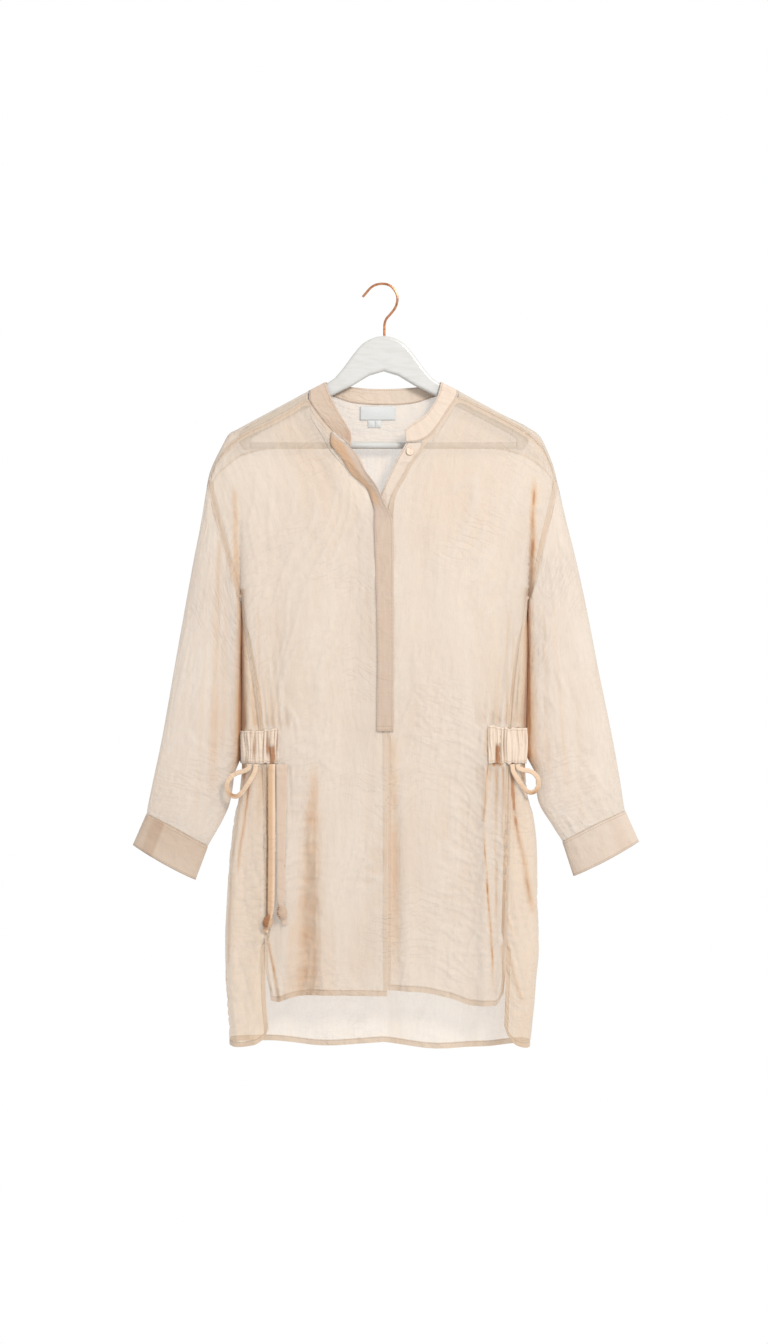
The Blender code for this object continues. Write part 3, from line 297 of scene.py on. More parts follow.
# The large folds: from one end to the other, how wide and how far they stand
FOLD = "x0 z0 x1 z1 width stand"
FOLDS = table(FOLD, (
    (-107, -690, -108, -985, 17, -6.5),
    (-128, -700, -134, -985, 12, 4),
    (-86, -720, -84, -985, 13, 3.5),
    (15, -650, 17, -985, 8, -3),
    (28, -640, 34, -985, 10, 2.5),
    (141, -560, 136, -985, 9, 4.5),
    (153, -590, 148, -930, 7, -4),
    (120, -640, 118, -985, 12, -2.5),
    (-60, -260, -120, -520, 20, 2.5),
    (60, -260, 110, -560, 22, 2.5),
    (-25, -300, -60, -700, 16, -2),
    (-150, -300, -150, -560, 14, -2.5),
    (160, -300, 158, -560, 14, -2.5),
))
BACK_FOLDS = table(FOLD, (
    (-120, -300, -110, -1020, 24, 4),
    (-60, -420, -70, -1020, 20, -3),
    (0, -300, 4, -1020, 26, 3),
    (60, -420, 74, -1020, 20, -3),
    (120, -300, 112, -1020, 24, 4),
))
BACK_HALF_SHARES = [0.0, 0.15, 0.30, 0.45, 0.53] + [0.60 + 0.04 * step for step in range(11)]
# The sleeves' sections from the armhole to the cuff seam
SLEEVE = "outer_x outer_z inner_x inner_z depth"
SLEEVES = {
    RIGHT_ARM: table(SLEEVE, (
        (238.9, -266, 196.6, -431, 17),
        (248.2, -323.7, 197, -470, 18),
        (258.1, -374, 197.8, -510, 18),
        (270, -439.3, 198.4, -555, 17),
        (285, -524, 199.4, -600, 16),
        (299.9, -609.3, 201.4, -648, 15),
        (311, -663, 207.4, -697.7, 14),
        (320.3, -707.2, 218, -726, 13),
        (321.9, -720, 240, -764.7, 11),
    )),
    LEFT_ARM: table(SLEEVE, (
        (236, -267, 199.8, -431, 17),
        (249, -323, 201, -470, 18),
        (261.8, -374, 202, -510, 18),
        (276, -439, 203.4, -555, 17),
        (292.5, -524, 204.9, -600, 16),
        (310, -609, 206.4, -648, 15),
        (320, -664, 210, -700, 14),
        (326.5, -705, 229, -734, 13),
        (328.4, -716, 244.1, -757.5, 11),
    )),
}


def smooth_step(value):
    """Ease a value from 0 to 1."""
    value = min(max(value, 0.0), 1.0)
    return value * value * (3.0 - 2.0 * value)


def blend(start, end, share):
    return start + (end - start) * share


table_lines = {}


def table_line(rows, key, value):
    """The points of one column against another, with a slope at each that never overshoots."""
    name = (id(rows), key, value)
    if name not in table_lines:
        points = sorted((getattr(row, key), getattr(row, value)) for row in rows)
        runs = [(b[1] - a[1]) / (b[0] - a[0]) for a, b in zip(points, points[1:])]
        slopes = [runs[0]]
        for before, after in zip(runs, runs[1:]):
            turns = before * after <= 0.0
            slopes.append(0.0 if turns else 2.0 * before * after / (before + after))
        table_lines[name] = points, slopes + [runs[-1]]
    return table_lines[name]


def read_table(rows, key, value, at):
    """Read one column of a table at a place between its rows, along a smooth line."""
    points, slopes = table_line(rows, key, value)
    if at <= points[0][0]:
        return points[0][1]
    for index in range(len(points) - 1):
        start, end = points[index], points[index + 1]
        if at <= end[0]:
            run = end[0] - start[0]
            share = (at - start[0]) / run
            rise = end[1] - start[1]
            first, last = slopes[index] * run, slopes[index + 1] * run
            curve = (3.0 * rise - 2.0 * first - last) * share ** 2 + (first + last - 2.0 * rise) * share ** 3
            return start[1] + first * share + curve
    return points[-1][1]


def read_curve(rows, share, *columns):
    """Read columns of a table at a share of its rows, along a smooth curve through them."""
    place = min(max(share, 0.0), 1.0) * (len(rows) - 1)
    index = min(int(place), len(rows) - 2)
    part = place - index
    before = rows[max(index - 1, 0)]
    start, end = rows[index], rows[index + 1]
    after = rows[min(index + 2, len(rows) - 1)]
    result = []
    for column in columns:
        p0, p1, p2, p3 = (getattr(row, column) for row in (before, start, end, after))
        slope_1, slope_2 = (p2 - p0) / 2.0, (p3 - p1) / 2.0
        rise = 3.0 * (p2 - p1) - 2.0 * slope_1 - slope_2
        turn = 2.0 * (p1 - p2) + slope_1 + slope_2
        result.append(p1 + slope_1 * part + rise * part ** 2 + turn * part ** 3)
    return result


def side_name(side, column):
    return f"{SIDES[side]}_{column}"


OUTLINE_STEPS = 260
outline_trees = {}
for side in SIDES:
    outline_points = []
    for step in range(OUTLINE_STEPS + 1):
        edge_x, edge_z = read_curve(OUTLINE, step / OUTLINE_STEPS, side_name(side, "x"), side_name(side, "z"))
        outline_points.append(Vector((edge_x, edge_z, 0.0)))
    tree = kdtree.KDTree(len(outline_points))
    for number, point in enumerate(outline_points):
        tree.insert(point, number)
    tree.balance()
    outline_trees[side] = tree, outline_points


def outline_distance(side, outward, z):
    """How far a point lies inside the outline of the shoulders and sleeves."""
    tree, points = outline_trees[side]
    here = Vector((outward, z, 0.0))
    number = tree.find(here)[1]
    nearest = (here - points[number]).length
    for start, end in ((number - 1, number), (number, number + 1)):
        if start >= 0 and end < len(points):
            along = points[end] - points[start]
            share = min(max((here - points[start]).dot(along) / along.length_squared, 0.0), 1.0)
            nearest = min(nearest, (here - points[start] - along * share).length)
    return nearest


def swell(distance, growth, limit):
    """Half the hanging cloth's thickness: round over the ridge, then slowly deeper."""
    if distance < RIDGE_RADIUS:
        return math.sqrt(RIDGE_RADIUS ** 2 - (RIDGE_RADIUS - distance) ** 2)
    room = limit - RIDGE_RADIUS
    return limit - room * math.exp(-(distance - RIDGE_RADIUS) * growth / room)


def body_edge(side, z):
    return read_table(BODY, "z", side_name(side, "edge"), z)


def edge_roundness(side, outward, z):
    """Draws the cloth in at the body's edge, and into the recess that runs up beside the sleeve."""
    nearness = abs(outward - body_edge(side, z)) / EDGE_REACH
    if nearness >= 1.0:
        return 1.0
    roundness = math.sqrt(1.0 - (1.0 - nearness) ** 2)
    return blend(roundness, 1.0, smooth_step((z - UNDERARM_Z) / RECESS_HEIGHT))


def fold_stand(folds, x, z):
    """How far the large folds move the cloth outwards at a point."""
    stand = 0.0
    for fold in folds:
        run_x, run_z = fold.x1 - fold.x0, fold.z1 - fold.z0
        length = math.hypot(run_x, run_z)
        along = ((x - fold.x0) * run_x + (z - fold.z0) * run_z) / length ** 2
        across = ((x - fold.x0) * run_z - (z - fold.z0) * run_x) / length
        fade = smooth_step(along * 3.5) * smooth_step((1.25 - along) * 4.0)
        stand += fold.stand * fade * math.exp(-(across / fold.width) ** 2)
    return stand


def beyond_casing(side, z):
    """How far a height lies above or below a casing, and negative under it."""
    casing = CASINGS[side]
    middle = (casing.top_z + casing.bottom_z) / 2.0
    half = (casing.top_z - casing.bottom_z) / 2.0
    return abs(z - middle) - half


def casing_fade(side, z):
    """Folds are flattened under the casings."""
    return smooth_step((beyond_casing(side, z) - 14.0) / 30.0)


def front_y(side, outward, z, lift=0.0):
    """The front sheet of the hanging cloth."""
    depth = swell(outline_distance(side, outward, z), FRONT_GROWTH, FRONT_DEPTH)
    near_edge = smooth_step((body_edge(side, z) - outward) / 30.0 + 0.1)
    folds = fold_stand(FOLDS, side * outward, z) * near_edge
    if outward > 120.0:
        folds *= casing_fade(side, z)
    return -max(depth * edge_roundness(side, outward, z) + folds, 0.0) - lift


def back_y(side, outward, z, lift=0.0):
    """The back sheet of the hanging cloth, above the underarm or well inside the edges."""
    depth = swell(outline_distance(side, outward, z), BACK_GROWTH, BACK_DEPTH)
    near_edge = smooth_step((body_edge(side, z) - outward) / 40.0)
    below_yoke = smooth_step((-235.0 - z) / 60.0)
    folds = fold_stand(BACK_FOLDS, side * outward, z) * near_edge * below_yoke
    return max(depth * edge_roundness(side, outward, z) + folds, 0.0) + lift


def quarter_wrap(side, z):
    """Length of cloth from the body's edge to where the sheet lies flat."""
    depth = swell(outline_distance(side, body_edge(side, z) - EDGE_REACH, z), BACK_GROWTH, BACK_DEPTH)
    return math.pi / 4.0 * (EDGE_REACH + depth)


def wrapped_point(side, z, travel, lift=0.0, stand=0.0):
    """A point on the body, a length of cloth away from its edge: to the back, or forward if negative."""
    edge, quarter = body_edge(side, z), quarter_wrap(side, z)
    turn = min(abs(travel) / quarter, 1.0) * math.pi / 2.0
    flat = max(abs(travel) - quarter, 0.0)
    outward = edge - EDGE_REACH * (1.0 - math.cos(turn)) - flat
    if travel >= 0.0:
        depth, growth, limit, folds = 1.0, BACK_GROWTH, BACK_DEPTH, BACK_FOLDS
    else:
        depth, growth, limit, folds = -1.0, FRONT_GROWTH, FRONT_DEPTH, FOLDS
    thickness = swell(outline_distance(side, outward, z), growth, limit)
    folding = fold_stand(folds, side * outward, z) * smooth_step((edge - outward) / 40.0)
    folding = folding * casing_fade(side, z)
    outward += (lift + stand) * math.cos(turn)
    y = depth * (thickness + folding + lift + stand) * math.sin(turn)
    return side * outward, y, z


def seam_travel(side, z):
    """Length of cloth from the body's edge forward to the side seam."""
    edge, quarter = body_edge(side, z), quarter_wrap(side, z)
    inset = edge - read_table(BODY, "z", side_name(side, "seam"), z)
    if inset >= EDGE_REACH:
        return quarter + inset - EDGE_REACH
    return quarter * math.acos(1.0 - inset / EDGE_REACH) / (math.pi / 2.0)


def gathers(side, place, z):
    """Small waves that fan out above and below a casing, and none under it."""
    beyond = beyond_casing(side, z)
    if beyond <= 0.0:
        return 0.0
    drawn_in = GATHER_DEPTH * (1.0 + math.cos(math.pi * place)) / 2.0
    return -drawn_in * min(beyond / 10.0, 1.0) * math.exp(-beyond / GATHER_SPREAD)


def armhole(side, share):
    """A point on the armhole seam, from the shoulder to the underarm."""
    start = SLEEVES[side][0]
    return blend(start.outer_x, start.inner_x, share), blend(start.outer_z, start.inner_z, share)


def armhole_outward(side, z):
    start = SLEEVES[side][0]
    share = (z - start.outer_z) / (start.inner_z - start.outer_z)
    return armhole(side, share)[0]


# Strokes of painted shade on the fronts and the back's sides, along folds, seams and armholes: from one end
# to the other, how wide at each end, and how deep the shade.
SHADE = "x0 z0 x1 z1 width0 width1 depth"
SHADES = table(SHADE, (
    (13, -600, 15.5, -940, 6.5, 9, 0.50),
    (-94, -650, -104, -990, 6, 24, 0.64),
    (-93, -680, -93, -990, 1.6, 3, 0.12),
    (-122, -860, -133, -990, 4, 8, 0.25),
    (-72, -850, -70, -985, 6, 6, 0.18),
    (-156, -885, -139, -978, 1.8, 3, 0.85),
    (141.5, -600, 139, -640, 3, 3, 0.7),
    (141, -632, 135.3, -735, 1.8, 1.8, 0.85),
    (135.3, -735, 149, -955, 1.8, 2.2, 0.85),
    (148, -640, 148.5, -655, 3, 3, 1.2),
    (157, -640, 157.5, -655, 2.5, 2.5, 1.2),
    (152, -650, 152, -880, 1.6, 1.8, 0.50),
    (161.5, -645, 162.5, -900, 1.6, 1.8, 0.60),
    (160, -890, 163, -985, 1.4, 2, 0.9),
    (165, -895, 188, -975, 1.6, 2.6, 0.55),
    (163, -850, 176, -880, 1.6, 1.6, 0.5),
    (-158, -640, -158.5, -860, 1.6, 1.6, 0.4),
    (-178, -655, -198, -800, 2, 2.2, 0.75),
    (-187, -655, -206, -790, 1.8, 2, 0.55),
    (-206, -790, -210, -930, 2.4, 2.4, 0.45),
    (174, -632, 176.5, -715, 2.2, 2.6, 1.3),
    (176.5, -712, 203, -855, 3.4, 5, 0.75),
    (168, -440, 166.5, -600, 1.6, 1.6, 0.45),
    (158, -500, 152, -600, 1.3, 1.3, 0.5),
    (176, -470, 172, -600, 1.6, 1.6, 0.4),
    (183, -500, 181, -600, 1.3, 1.3, 0.45),
    (-170, -440, -166, -604, 1.6, 1.6, 0.45),
    (-160, -520, -154, -604, 1.3, 1.3, 0.35),
    (-178, -500, -175, -604, 1.4, 1.4, 0.40),
    (-148, -560, -146, -604, 1.2, 1.2, 0.45),
    (204, -262, 200, -445, 4, 5, 0.9),
    (-202, -275, -197.5, -445, 4, 5, 0.75),
))
# Strokes of painted shade on the sleeves' fronts, in the same columns.
SLEEVE_SHADES = table(SHADE, (
    (-222, -330, -232, -700, 3, 9, 0.45),
    (-240, -500, -256, -740, 2, 4, 0.25),
    (-214, -420, -218, -640, 2, 3, 0.30),
    (228, -420, 250, -700, 2, 4, 0.25),
    (216, -440, 226, -690, 2, 3, 0.30),
    (262, -560, 268, -740, 2, 3, 0.20),
))


def shade_depth(shades, x, z):
    """How much shade is painted into the cloth's folds at a place, from 0 to 1."""
    depth = 0.0
    for shade in shades:
        if min(shade.z0, shade.z1) - 40.0 < z < max(shade.z0, shade.z1) + 40.0:
            run = (z - shade.z0) / (shade.z1 - shade.z0)
            middle_x = blend(shade.x0, shade.x1, run) + noise.noise(Vector((z / 37.0, shade.x0, 0.0))) * 1.8
            width = max(blend(shade.width0, shade.width1, run), 0.8)
            fade = smooth_step(run * 6.0 + 0.3) * smooth_step((1.05 - run) * 5.0)
            broken = 0.92 + 0.3 * noise.noise(Vector((z / 23.0, shade.x1, 4.0)))
            depth += shade.depth * fade * broken * math.exp(-abs((x - middle_x) / width) ** 2.6)
    return min(depth, 1.0)


def edge_shade(side, outward, z):
    """The deep shade where the body's edge turns in beside the sleeve."""
    nearness = (body_edge(side, z) - outward) / 6.5
    return math.exp(-nearness ** 2) * smooth_step((-345.0 - z) / 60.0) * smooth_step((z + 690.0) / 50.0)


def shares_place(shares, share):
    """Where a share lies among a list of shares, counted in their steps."""
    for number, (start, end) in enumerate(zip(shares, shares[1:])):
        if share <= end:
            return number + (share - start) / (end - start)
    return len(shares) - 1.0


def creases(across, down, seed, reach=1.0):
    """How far the wrinkled cloth stands out of its hang: soft waves and streaks, and in patches
    long slack pulls and short wrinkles that lie across the drop."""
    wave = noise.noise(Vector((across / 52.0, down / 230.0, seed))) * 1.5
    bent_across = across + noise.noise(Vector((across / 80.0, down / 80.0, seed + 9.0))) * 20.0
    bent_down = down + noise.noise(Vector((across / 80.0, down / 80.0, seed + 29.5))) * 20.0
    patch = smooth_step(noise.noise(Vector((across / 85.0, down / 120.0, seed + 4.0))) * 1.6 + 0.45)
    pull = Vector((bent_across / 24.0 + bent_down / 70.0, bent_down / 105.0, seed + 2.0))
    cross = Vector((bent_across / 44.0, bent_down / 12.0 - across / 90.0, seed + 6.0))
    pulled = max(1.0 - abs(noise.noise(pull)) * 2.8, 0.0) ** 3 * 1.4
    lower = smooth_step((down - 330.0) / 150.0)
    crossed = max(1.0 - abs(noise.noise(cross)) * 2.8, 0.0) ** 3 * (0.35 + 1.05 * lower)
    streak = noise.noise(Vector((across / 9.0, down / 150.0, seed + 8.0))) * 0.5
    return (wave + streak + (pulled + crossed) * patch * 1.5 - 0.4) * reach


def cloth_sheet(name, columns, rows, place, cut, closed=False, left_out=None, wall=0.0):
    """A sheet of cloth: a grid whose points are placed one by one, with its cut kept as UVs in metres
    and, as a colour attribute, how much shade is painted on each point, with some layers' tint."""
    grid = bmesh.new()
    bmesh.ops.create_grid(grid, x_segments=columns, y_segments=rows, size=0.5)
    layer = grid.loops.layers.uv.new("cut")
    tone = grid.verts.layers.float.new("painted_shade_and_layers")
    for face in grid.faces:
        for loop in face.loops:
            spot = loop.vert.co
            loop[layer].uv = ((spot.x + 0.5) * cut[0] * MM, (spot.y + 0.5) * cut[1] * MM)
    if left_out:
        outside = [face for face in grid.faces
                   if left_out((face.calc_center_median().x + 0.5) * columns,
                               (face.calc_center_median().y + 0.5) * rows)]
        bmesh.ops.delete(grid, geom=outside, context="FACES")
    for vertex in grid.verts:
        x, y, z, painted_shade_and_layers = place((vertex.co.x + 0.5), (vertex.co.y + 0.5))
        vertex.co = Vector((x, y, z)) * MM
        vertex[tone] = painted_shade_and_layers
    if closed:
        bmesh.ops.remove_doubles(grid, verts=grid.verts, dist=0.00001)
    mesh = bpy.data.meshes.new(name)
    grid.to_mesh(mesh)
    grid.free()
    mesh.shade_smooth()
    piece = bpy.data.objects.new(name, mesh)
    bpy.context.collection.objects.link(piece)
    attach(piece, "root")
    if wall:
        solidify = piece.modifiers.new("wall", "SOLIDIFY")
        solidify.thickness = wall * MM
        solidify.offset = 0.0
        solidify.use_even_offset = False
    return piece


def dress(piece, node, material):
    """Put a piece in the place of a CAD solid, in its own material."""
    piece.data.materials.append(material)
    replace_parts(piece, node)


# The cloth's colours: cream; tan, for painted shade and a cloudy random tone; mauve, for the crinkle and for
# more layers; a dark brown for the deepest painted shade; and the thread.
CREAM, TAN, MAUVE = linear(193, 176, 157), linear(172, 137, 104), linear(166, 147, 131)
DEEP_SHADE_BROWN = linear(146, 98, 62)
THREAD = linear(158, 134, 114)
# In metres: a stitch and half its thread's width, the threads of the weave, and how softly an
# edge of more layers shows
STITCH, THREAD_HALF = 0.0024, 0.0003
WARP_PITCH, WEFT_PITCH = 0.0005, 0.00055
LAYER_BLUR = 0.0006


def cloth_finish(name, see_through, bands=(), stitches=(), colour=CREAM, fold=TAN, crease=1.0):
    """The tunic's cloth. bands are (axis, low, high) in metres of the cut, where more layers lie;
    stitches are (axis, place) rows of sewing; fold is the colour that painted shade mixes towards."""
    finish = Finish(name, 0.78, **{"Sheen Weight": 0.25, "Sheen Roughness": 0.5, "Specular IOR Level": 0.25})
    cut = finish.node("ShaderNodeUVMap", {"uv_map": "cut"})
    split = finish.node("ShaderNodeSeparateXYZ", None, {0: cut})
    axes = {"u": split, "v": Value(finish, split.socket.node.outputs[1])}
    painted_shade_and_layers = finish.node("ShaderNodeAttribute", {"attribute_name": "painted_shade_and_layers"}, output=2)
    spot = finish.place()
    cloudy = finish.noise(spot, 9.0, 3.0)
    layers = finish.node("ShaderNodeValue")
    layers.socket.default_value = 0.0
    for axis, low, high in bands:
        run = axes[axis]
        past_low = finish.ramp(run, low - LAYER_BLUR, low + LAYER_BLUR)
        past_high = finish.ramp(run, high - LAYER_BLUR, high + LAYER_BLUR)
        layers = layers + past_low * (1.0 - past_high)
    layers = layers.math("MINIMUM", 1.0)
    sewn = None
    for axis, line in stitches:
        run, other = axes[axis], axes["v" if axis == "u" else "u"]
        near = 1.0 - finish.ramp((run - line).math("ABSOLUTE"), THREAD_HALF, THREAD_HALF + 0.0005)
        dash = finish.ramp((other * (2.0 * math.pi / STITCH)).math("SINE"), -0.7, -0.2)
        row = near * dash
        sewn = row if sewn is None else sewn.math("MAXIMUM", row)
    slub = finish.noise(finish.stretched(cut, (900.0, 60.0, 1.0)), 1.0, 2.0)
    crinkle = finish.noise(finish.stretched(cut, (120.0, 30.0, 1.0)), 1.0, 3.0)
    # Painted shade: the colour is mixed towards the fold colour as far as shade is painted on the surface,
    # broken up by cloudy noise.
    shade = finish.mix(painted_shade_and_layers * (cloudy * 0.5 + 0.75), colour, fold)
    shade = finish.mix(finish.ramp(crinkle, 0.42, 0.78) * 0.15, shade, MAUVE)
    # Wrinkle lines in patches: bumped into the surface and painted a little darker, as shade in their
    # creases.
    wrinkle = finish.noise(finish.stretched(cut, (24.0, 88.0, 1.0), 0.3), 1.0, 1.5)
    patch = finish.ramp(finish.noise(spot, 8.0, 1.0), 0.42, 0.62)
    line = (1.0 - finish.ramp((wrinkle - 0.5).math("ABSOLUTE"), 0.0, 0.05)) * patch
    shade = finish.mix(line * 0.11, shade, TAN)
    # The deepest painted shade turns a dark brown.
    shade = finish.mix(finish.ramp(painted_shade_and_layers, 0.74, 1.0) * 0.85, shade, DEEP_SHADE_BROWN)
    shade = finish.mix(layers * 0.5, shade, MAUVE)
    shade = finish.mix(finish.ramp(cloudy, 0.3, 0.75) * 0.12, shade, TAN)
    if sewn is not None:
        shade = finish.mix(sewn * 0.7, shade, THREAD)
    finish.put(finish.shader, {"Base Color": shade})
    warp = (axes["u"] * (2.0 * math.pi / WARP_PITCH)).math("SINE")
    weft = (axes["v"] * (2.0 * math.pi / WEFT_PITCH)).math("SINE")
    bend = finish.noise(spot, 16.0, 2.0)
    bent = finish.node("ShaderNodeVectorMath", {"operation": "MULTIPLY_ADD"},
                       {0: Value(finish, bend.socket.node.outputs[1]), 1: (0.05, 0.05, 0.05), 2: spot})
    rumple = finish.noise(bent, 55.0, 3.0)
    height = rumple * (0.0022 * crease) + crinkle * (0.0018 * crease) + line * (0.0004 * crease)
    height = height + (warp + weft) * 0.000012 + slub * 0.00004 + layers * 0.0002
    if sewn is not None:
        height = height - sewn * 0.00015
    finish.relief(height)
    if see_through:
        dense = layers * (see_through * 0.75) + (1.0 - see_through)
        # Where shade or layers are painted, the cloth is also made denser.
        alpha = dense + painted_shade_and_layers * 0.45 + slub * 0.10 - 0.05
        finish.put(finish.shader, {"Alpha": alpha.math("MINIMUM", 1.0)})
    return finish.material


SEE_THROUGH, BACK_SEE_THROUGH = 0.47, 0.55
# The back's colour: a lighter, warmer copy of the cloth's cream, as painted light that offsets the shade it
# hangs in.
BACK_CREAM = linear(203, 181, 154)
BACK_CUT = (884.0, 822.0)
BACK_COLUMNS, BACK_ROWS = 230, 240
UNDERARM_BLEND = 16.0
# Where a hem is sewn past its upper edge, and then in metres of the cut: how wide the back's
# side seams are and where they are sewn
HEM_SEWING = 1.2
SEAM_WIDTH, SEAM_SEWING = 0.009, 0.0085


def place_back(across, down):
    side = RIGHT_ARM if across < 0.5 else LEFT_ARM
    share = abs(across - 0.5) * 2.0
    top_z = read_table(BACK_TOP, "share", "z", share) + SEAM_OVERLAP
    hem_z = read_table(BACK_HEM, "share", side_name(side, "z"), share)
    z = blend(top_z, hem_z, down)
    ripple = creases(across * BACK_CUT[0], down * BACK_CUT[1], 11.0)
    # Shade is painted into the creases' valleys, the gathers, the turn of the body's edge and the listed
    # strokes; the back's sides below the casings are tinted darker for their two layers.
    painted_shade_and_layers = max(-ripple, 0.0) * 0.12
    free = smooth_step((1.0 - share) * 40.0 + 0.25) * smooth_step(down * 30.0)
    turned = smooth_step((UNDERARM_Z + UNDERARM_BLEND - z) / UNDERARM_BLEND)
    if turned < 1.0:
        widest = armhole_outward(side, z)
        top_outward = read_table(BACK_TOP, "share", side_name(side, "x"), share)
        outward = blend(top_outward, share * widest, smooth_step(down / 0.12))
        y = back_y(side, outward, z) - ripple * free * min(outline_distance(side, outward, z) / 20.0, 1.0)
        above = Vector((side * outward, y, z))
        if turned == 0.0:
            return *above, painted_shade_and_layers
    allowance = ALLOWANCE * smooth_step((UNDERARM_Z - z) / 60.0) * smooth_step((z + 905.0) / 30.0)
    seam = seam_travel(side, z) + allowance
    travel = blend(quarter_wrap(side, z) + body_edge(side, z) - EDGE_REACH, -seam, share)
    index = shares_place(BACK_HALF_SHARES, share)
    drawn = gathers(side, index - 4.0, z) if index > 4.0 else 0.0
    under_front = 0.9 * smooth_step((-travel - seam + ALLOWANCE + 3.0) / 3.0) if travel < 0.0 else 0.0
    beside_sleeve = (1.0 - smooth_step(abs(travel) / EDGE_REACH)) * smooth_step((z + 690.0) / 40.0)
    stand = (drawn - ripple * free) * (1.0 - beside_sleeve) - under_front
    x, y, z = wrapped_point(side, z, travel, stand=stand)
    if turned < 1.0:
        x, y, z = above.lerp(Vector((x, y, z)), turned)
    if travel < quarter_wrap(side, z):
        painted_shade_and_layers += edge_shade(side, abs(x), z)
    if travel < 0.0:
        painted_shade_and_layers += shade_depth(SHADES, x, z) + 0.14 * smooth_step((-640.0 - z) / 30.0)
    return x, y, z, min(painted_shade_and_layers - drawn * 0.16, 1.0)


back = cloth_sheet("back_panel", BACK_COLUMNS, BACK_ROWS, place_back, BACK_CUT)
back_width, back_hem_v = BACK_CUT[0] * MM, (BACK_CUT[1] - HEM) * MM
back_bands = (("v", back_hem_v, 1.0), ("u", -0.1, SEAM_WIDTH), ("u", back_width - SEAM_WIDTH, 1.0))
back_sewing = (("v", back_hem_v + HEM_SEWING * MM), ("u", SEAM_SEWING), ("u", back_width - SEAM_SEWING))
back_cloth = cloth_finish("back_cloth", BACK_SEE_THROUGH, back_bands, back_sewing, BACK_CREAM)
dress(back, "back", back_cloth)


# The two fronts: the same cloth, joined down the middle below the placket. Each hangs from the
# yoke's front seam and ends in a narrow hem that rises at the side vent.
FRONT_TOP = table("share right_x right_z left_x left_z", (
    (0.00, 68.2, -203, 52, -214.4),
    (0.05, 78.4, -192.4, 62.4, -209.2),
    (0.10, 87, -181.8, 73.4, -196.6),
    (0.15, 95.8, -170.2, 86.6, -176.4),
    (0.20, 102.4, -159.3, 102, -155.6),
    (0.34, 127, -173.2, 126, -165.8),
    (0.48, 152.3, -187, 150, -177.8),
    (0.66, 191.1, -206.2, 188, -199),
    (0.78, 212, -224, 211, -217.5),
    (0.90, 227, -243.5, 226.5, -245),
    (1.00, 236, -270.6, 233.8, -272),
))
FRONT_MEETING = table("z right_x left_x", (
    (-201, 68.2, 52),
    (-217, 68.4, 52),
    (-229.3, 60.8, 46),
    (-242, 51.6, 36),
    (-257, 42.6, 28),
    (-271, 28, 20),
    (-283, 17, 13),
    (-298, 11, 8),
    (-325, 3, 4),
    (-350, -2, 2.4),
    (-598, -2, 2.4),
    (-625, -4.8, 5.2),
    (-990, -4.8, 5.2),
))
FRONT_HEM = table("share right_x right_z left_x left_z", (
    (0.00, -4.8, -964.2, 5.2, -956),
    (0.30, 50, -963.4, 50, -958.8),
    (0.55, 90, -962.6, 92, -967.4),
    (0.75, 123, -965.6, 122, -977),
    (0.92, 144, -971.5, 150, -977.5),
    (1.00, 152.5, -969.5, 162, -960),
))
FRONT_COLUMN_SHARES = [0.0, 0.05, 0.10, 0.15, 0.20, 0.34, 0.48, 0.57]
FRONT_COLUMN_SHARES += [0.66 + 0.03 * step for step in range(8)]
FRONT_COLUMN_SHARES += [0.90, 0.925, 0.95, 0.975, 1.0]
FRONT_CUT = (206.0, 764.0)
FRONT_COLUMNS, FRONT_ROWS = 90, 280
SIDE_SEAM = 7.0


def front_place(side):
    x_name, z_name = side_name(side, "x"), side_name(side, "z")

    def edge(rows, share, raised=0.0):
        return read_table(rows, "share", x_name, share), read_table(rows, "share", z_name, share) + raised

    def top(share):
        return edge(FRONT_TOP, share, SEAM_OVERLAP)

    def hem(share):
        return edge(FRONT_HEM, share)

    def meeting(share):
        z = blend(top(0.0)[1], hem(0.0)[1], share)
        return read_table(FRONT_MEETING, "z", x_name, z), z

    def outer(share):
        z = blend(top(1.0)[1], hem(1.0)[1], share)
        if z > UNDERARM_Z:
            return min(armhole_outward(side, z), top(1.0)[0]), z
        seam = read_table(BODY, "z", side_name(side, "seam"), z)
        return blend(seam, hem(1.0)[0], smooth_step((-920.0 - z) / 50.0)), z

    def place(across, down):
        point = []
        for axis in (0, 1):
            fall = blend(top(across)[axis], hem(across)[axis], down)
            run = blend(meeting(down)[axis], outer(down)[axis], across)
            upper = blend(top(0.0)[axis], top(1.0)[axis], across)
            lower = blend(hem(0.0)[axis], hem(1.0)[axis], across)
            point.append(fall + run - blend(upper, lower, down))
        outward, z = point
        index = shares_place(FRONT_COLUMN_SHARES, across)
        drawn = gathers(side, index, z) * smooth_step(index - GATHER_START) if index > GATHER_START else 0.0
        ripple = creases(across * FRONT_CUT[0] * side, down * FRONT_CUT[1], 31.0)
        free = smooth_step((1.0 - across) * 24.0) * smooth_step(down * 30.0) * smooth_step(across * 20.0)
        free *= min(outline_distance(side, outward, z) / 20.0, 1.0)
        folds = fold_stand(FOLDS, side * outward, z)
        gathered = smooth_step((outward - 126.0) / 16.0)
        # Shade is painted into the folds' and creases' valleys, into the gathers and along the listed
        # strokes.
        painted_shade_and_layers = max(-folds, 0.0) * 0.015 + max(-ripple, 0.0) * 0.16 - drawn * gathered * 0.16
        painted_shade_and_layers += shade_depth(SHADES, side * outward, z)
        return side * outward, front_y(side, outward, z, drawn + ripple * free), z, min(painted_shade_and_layers, 1.0)

    return place


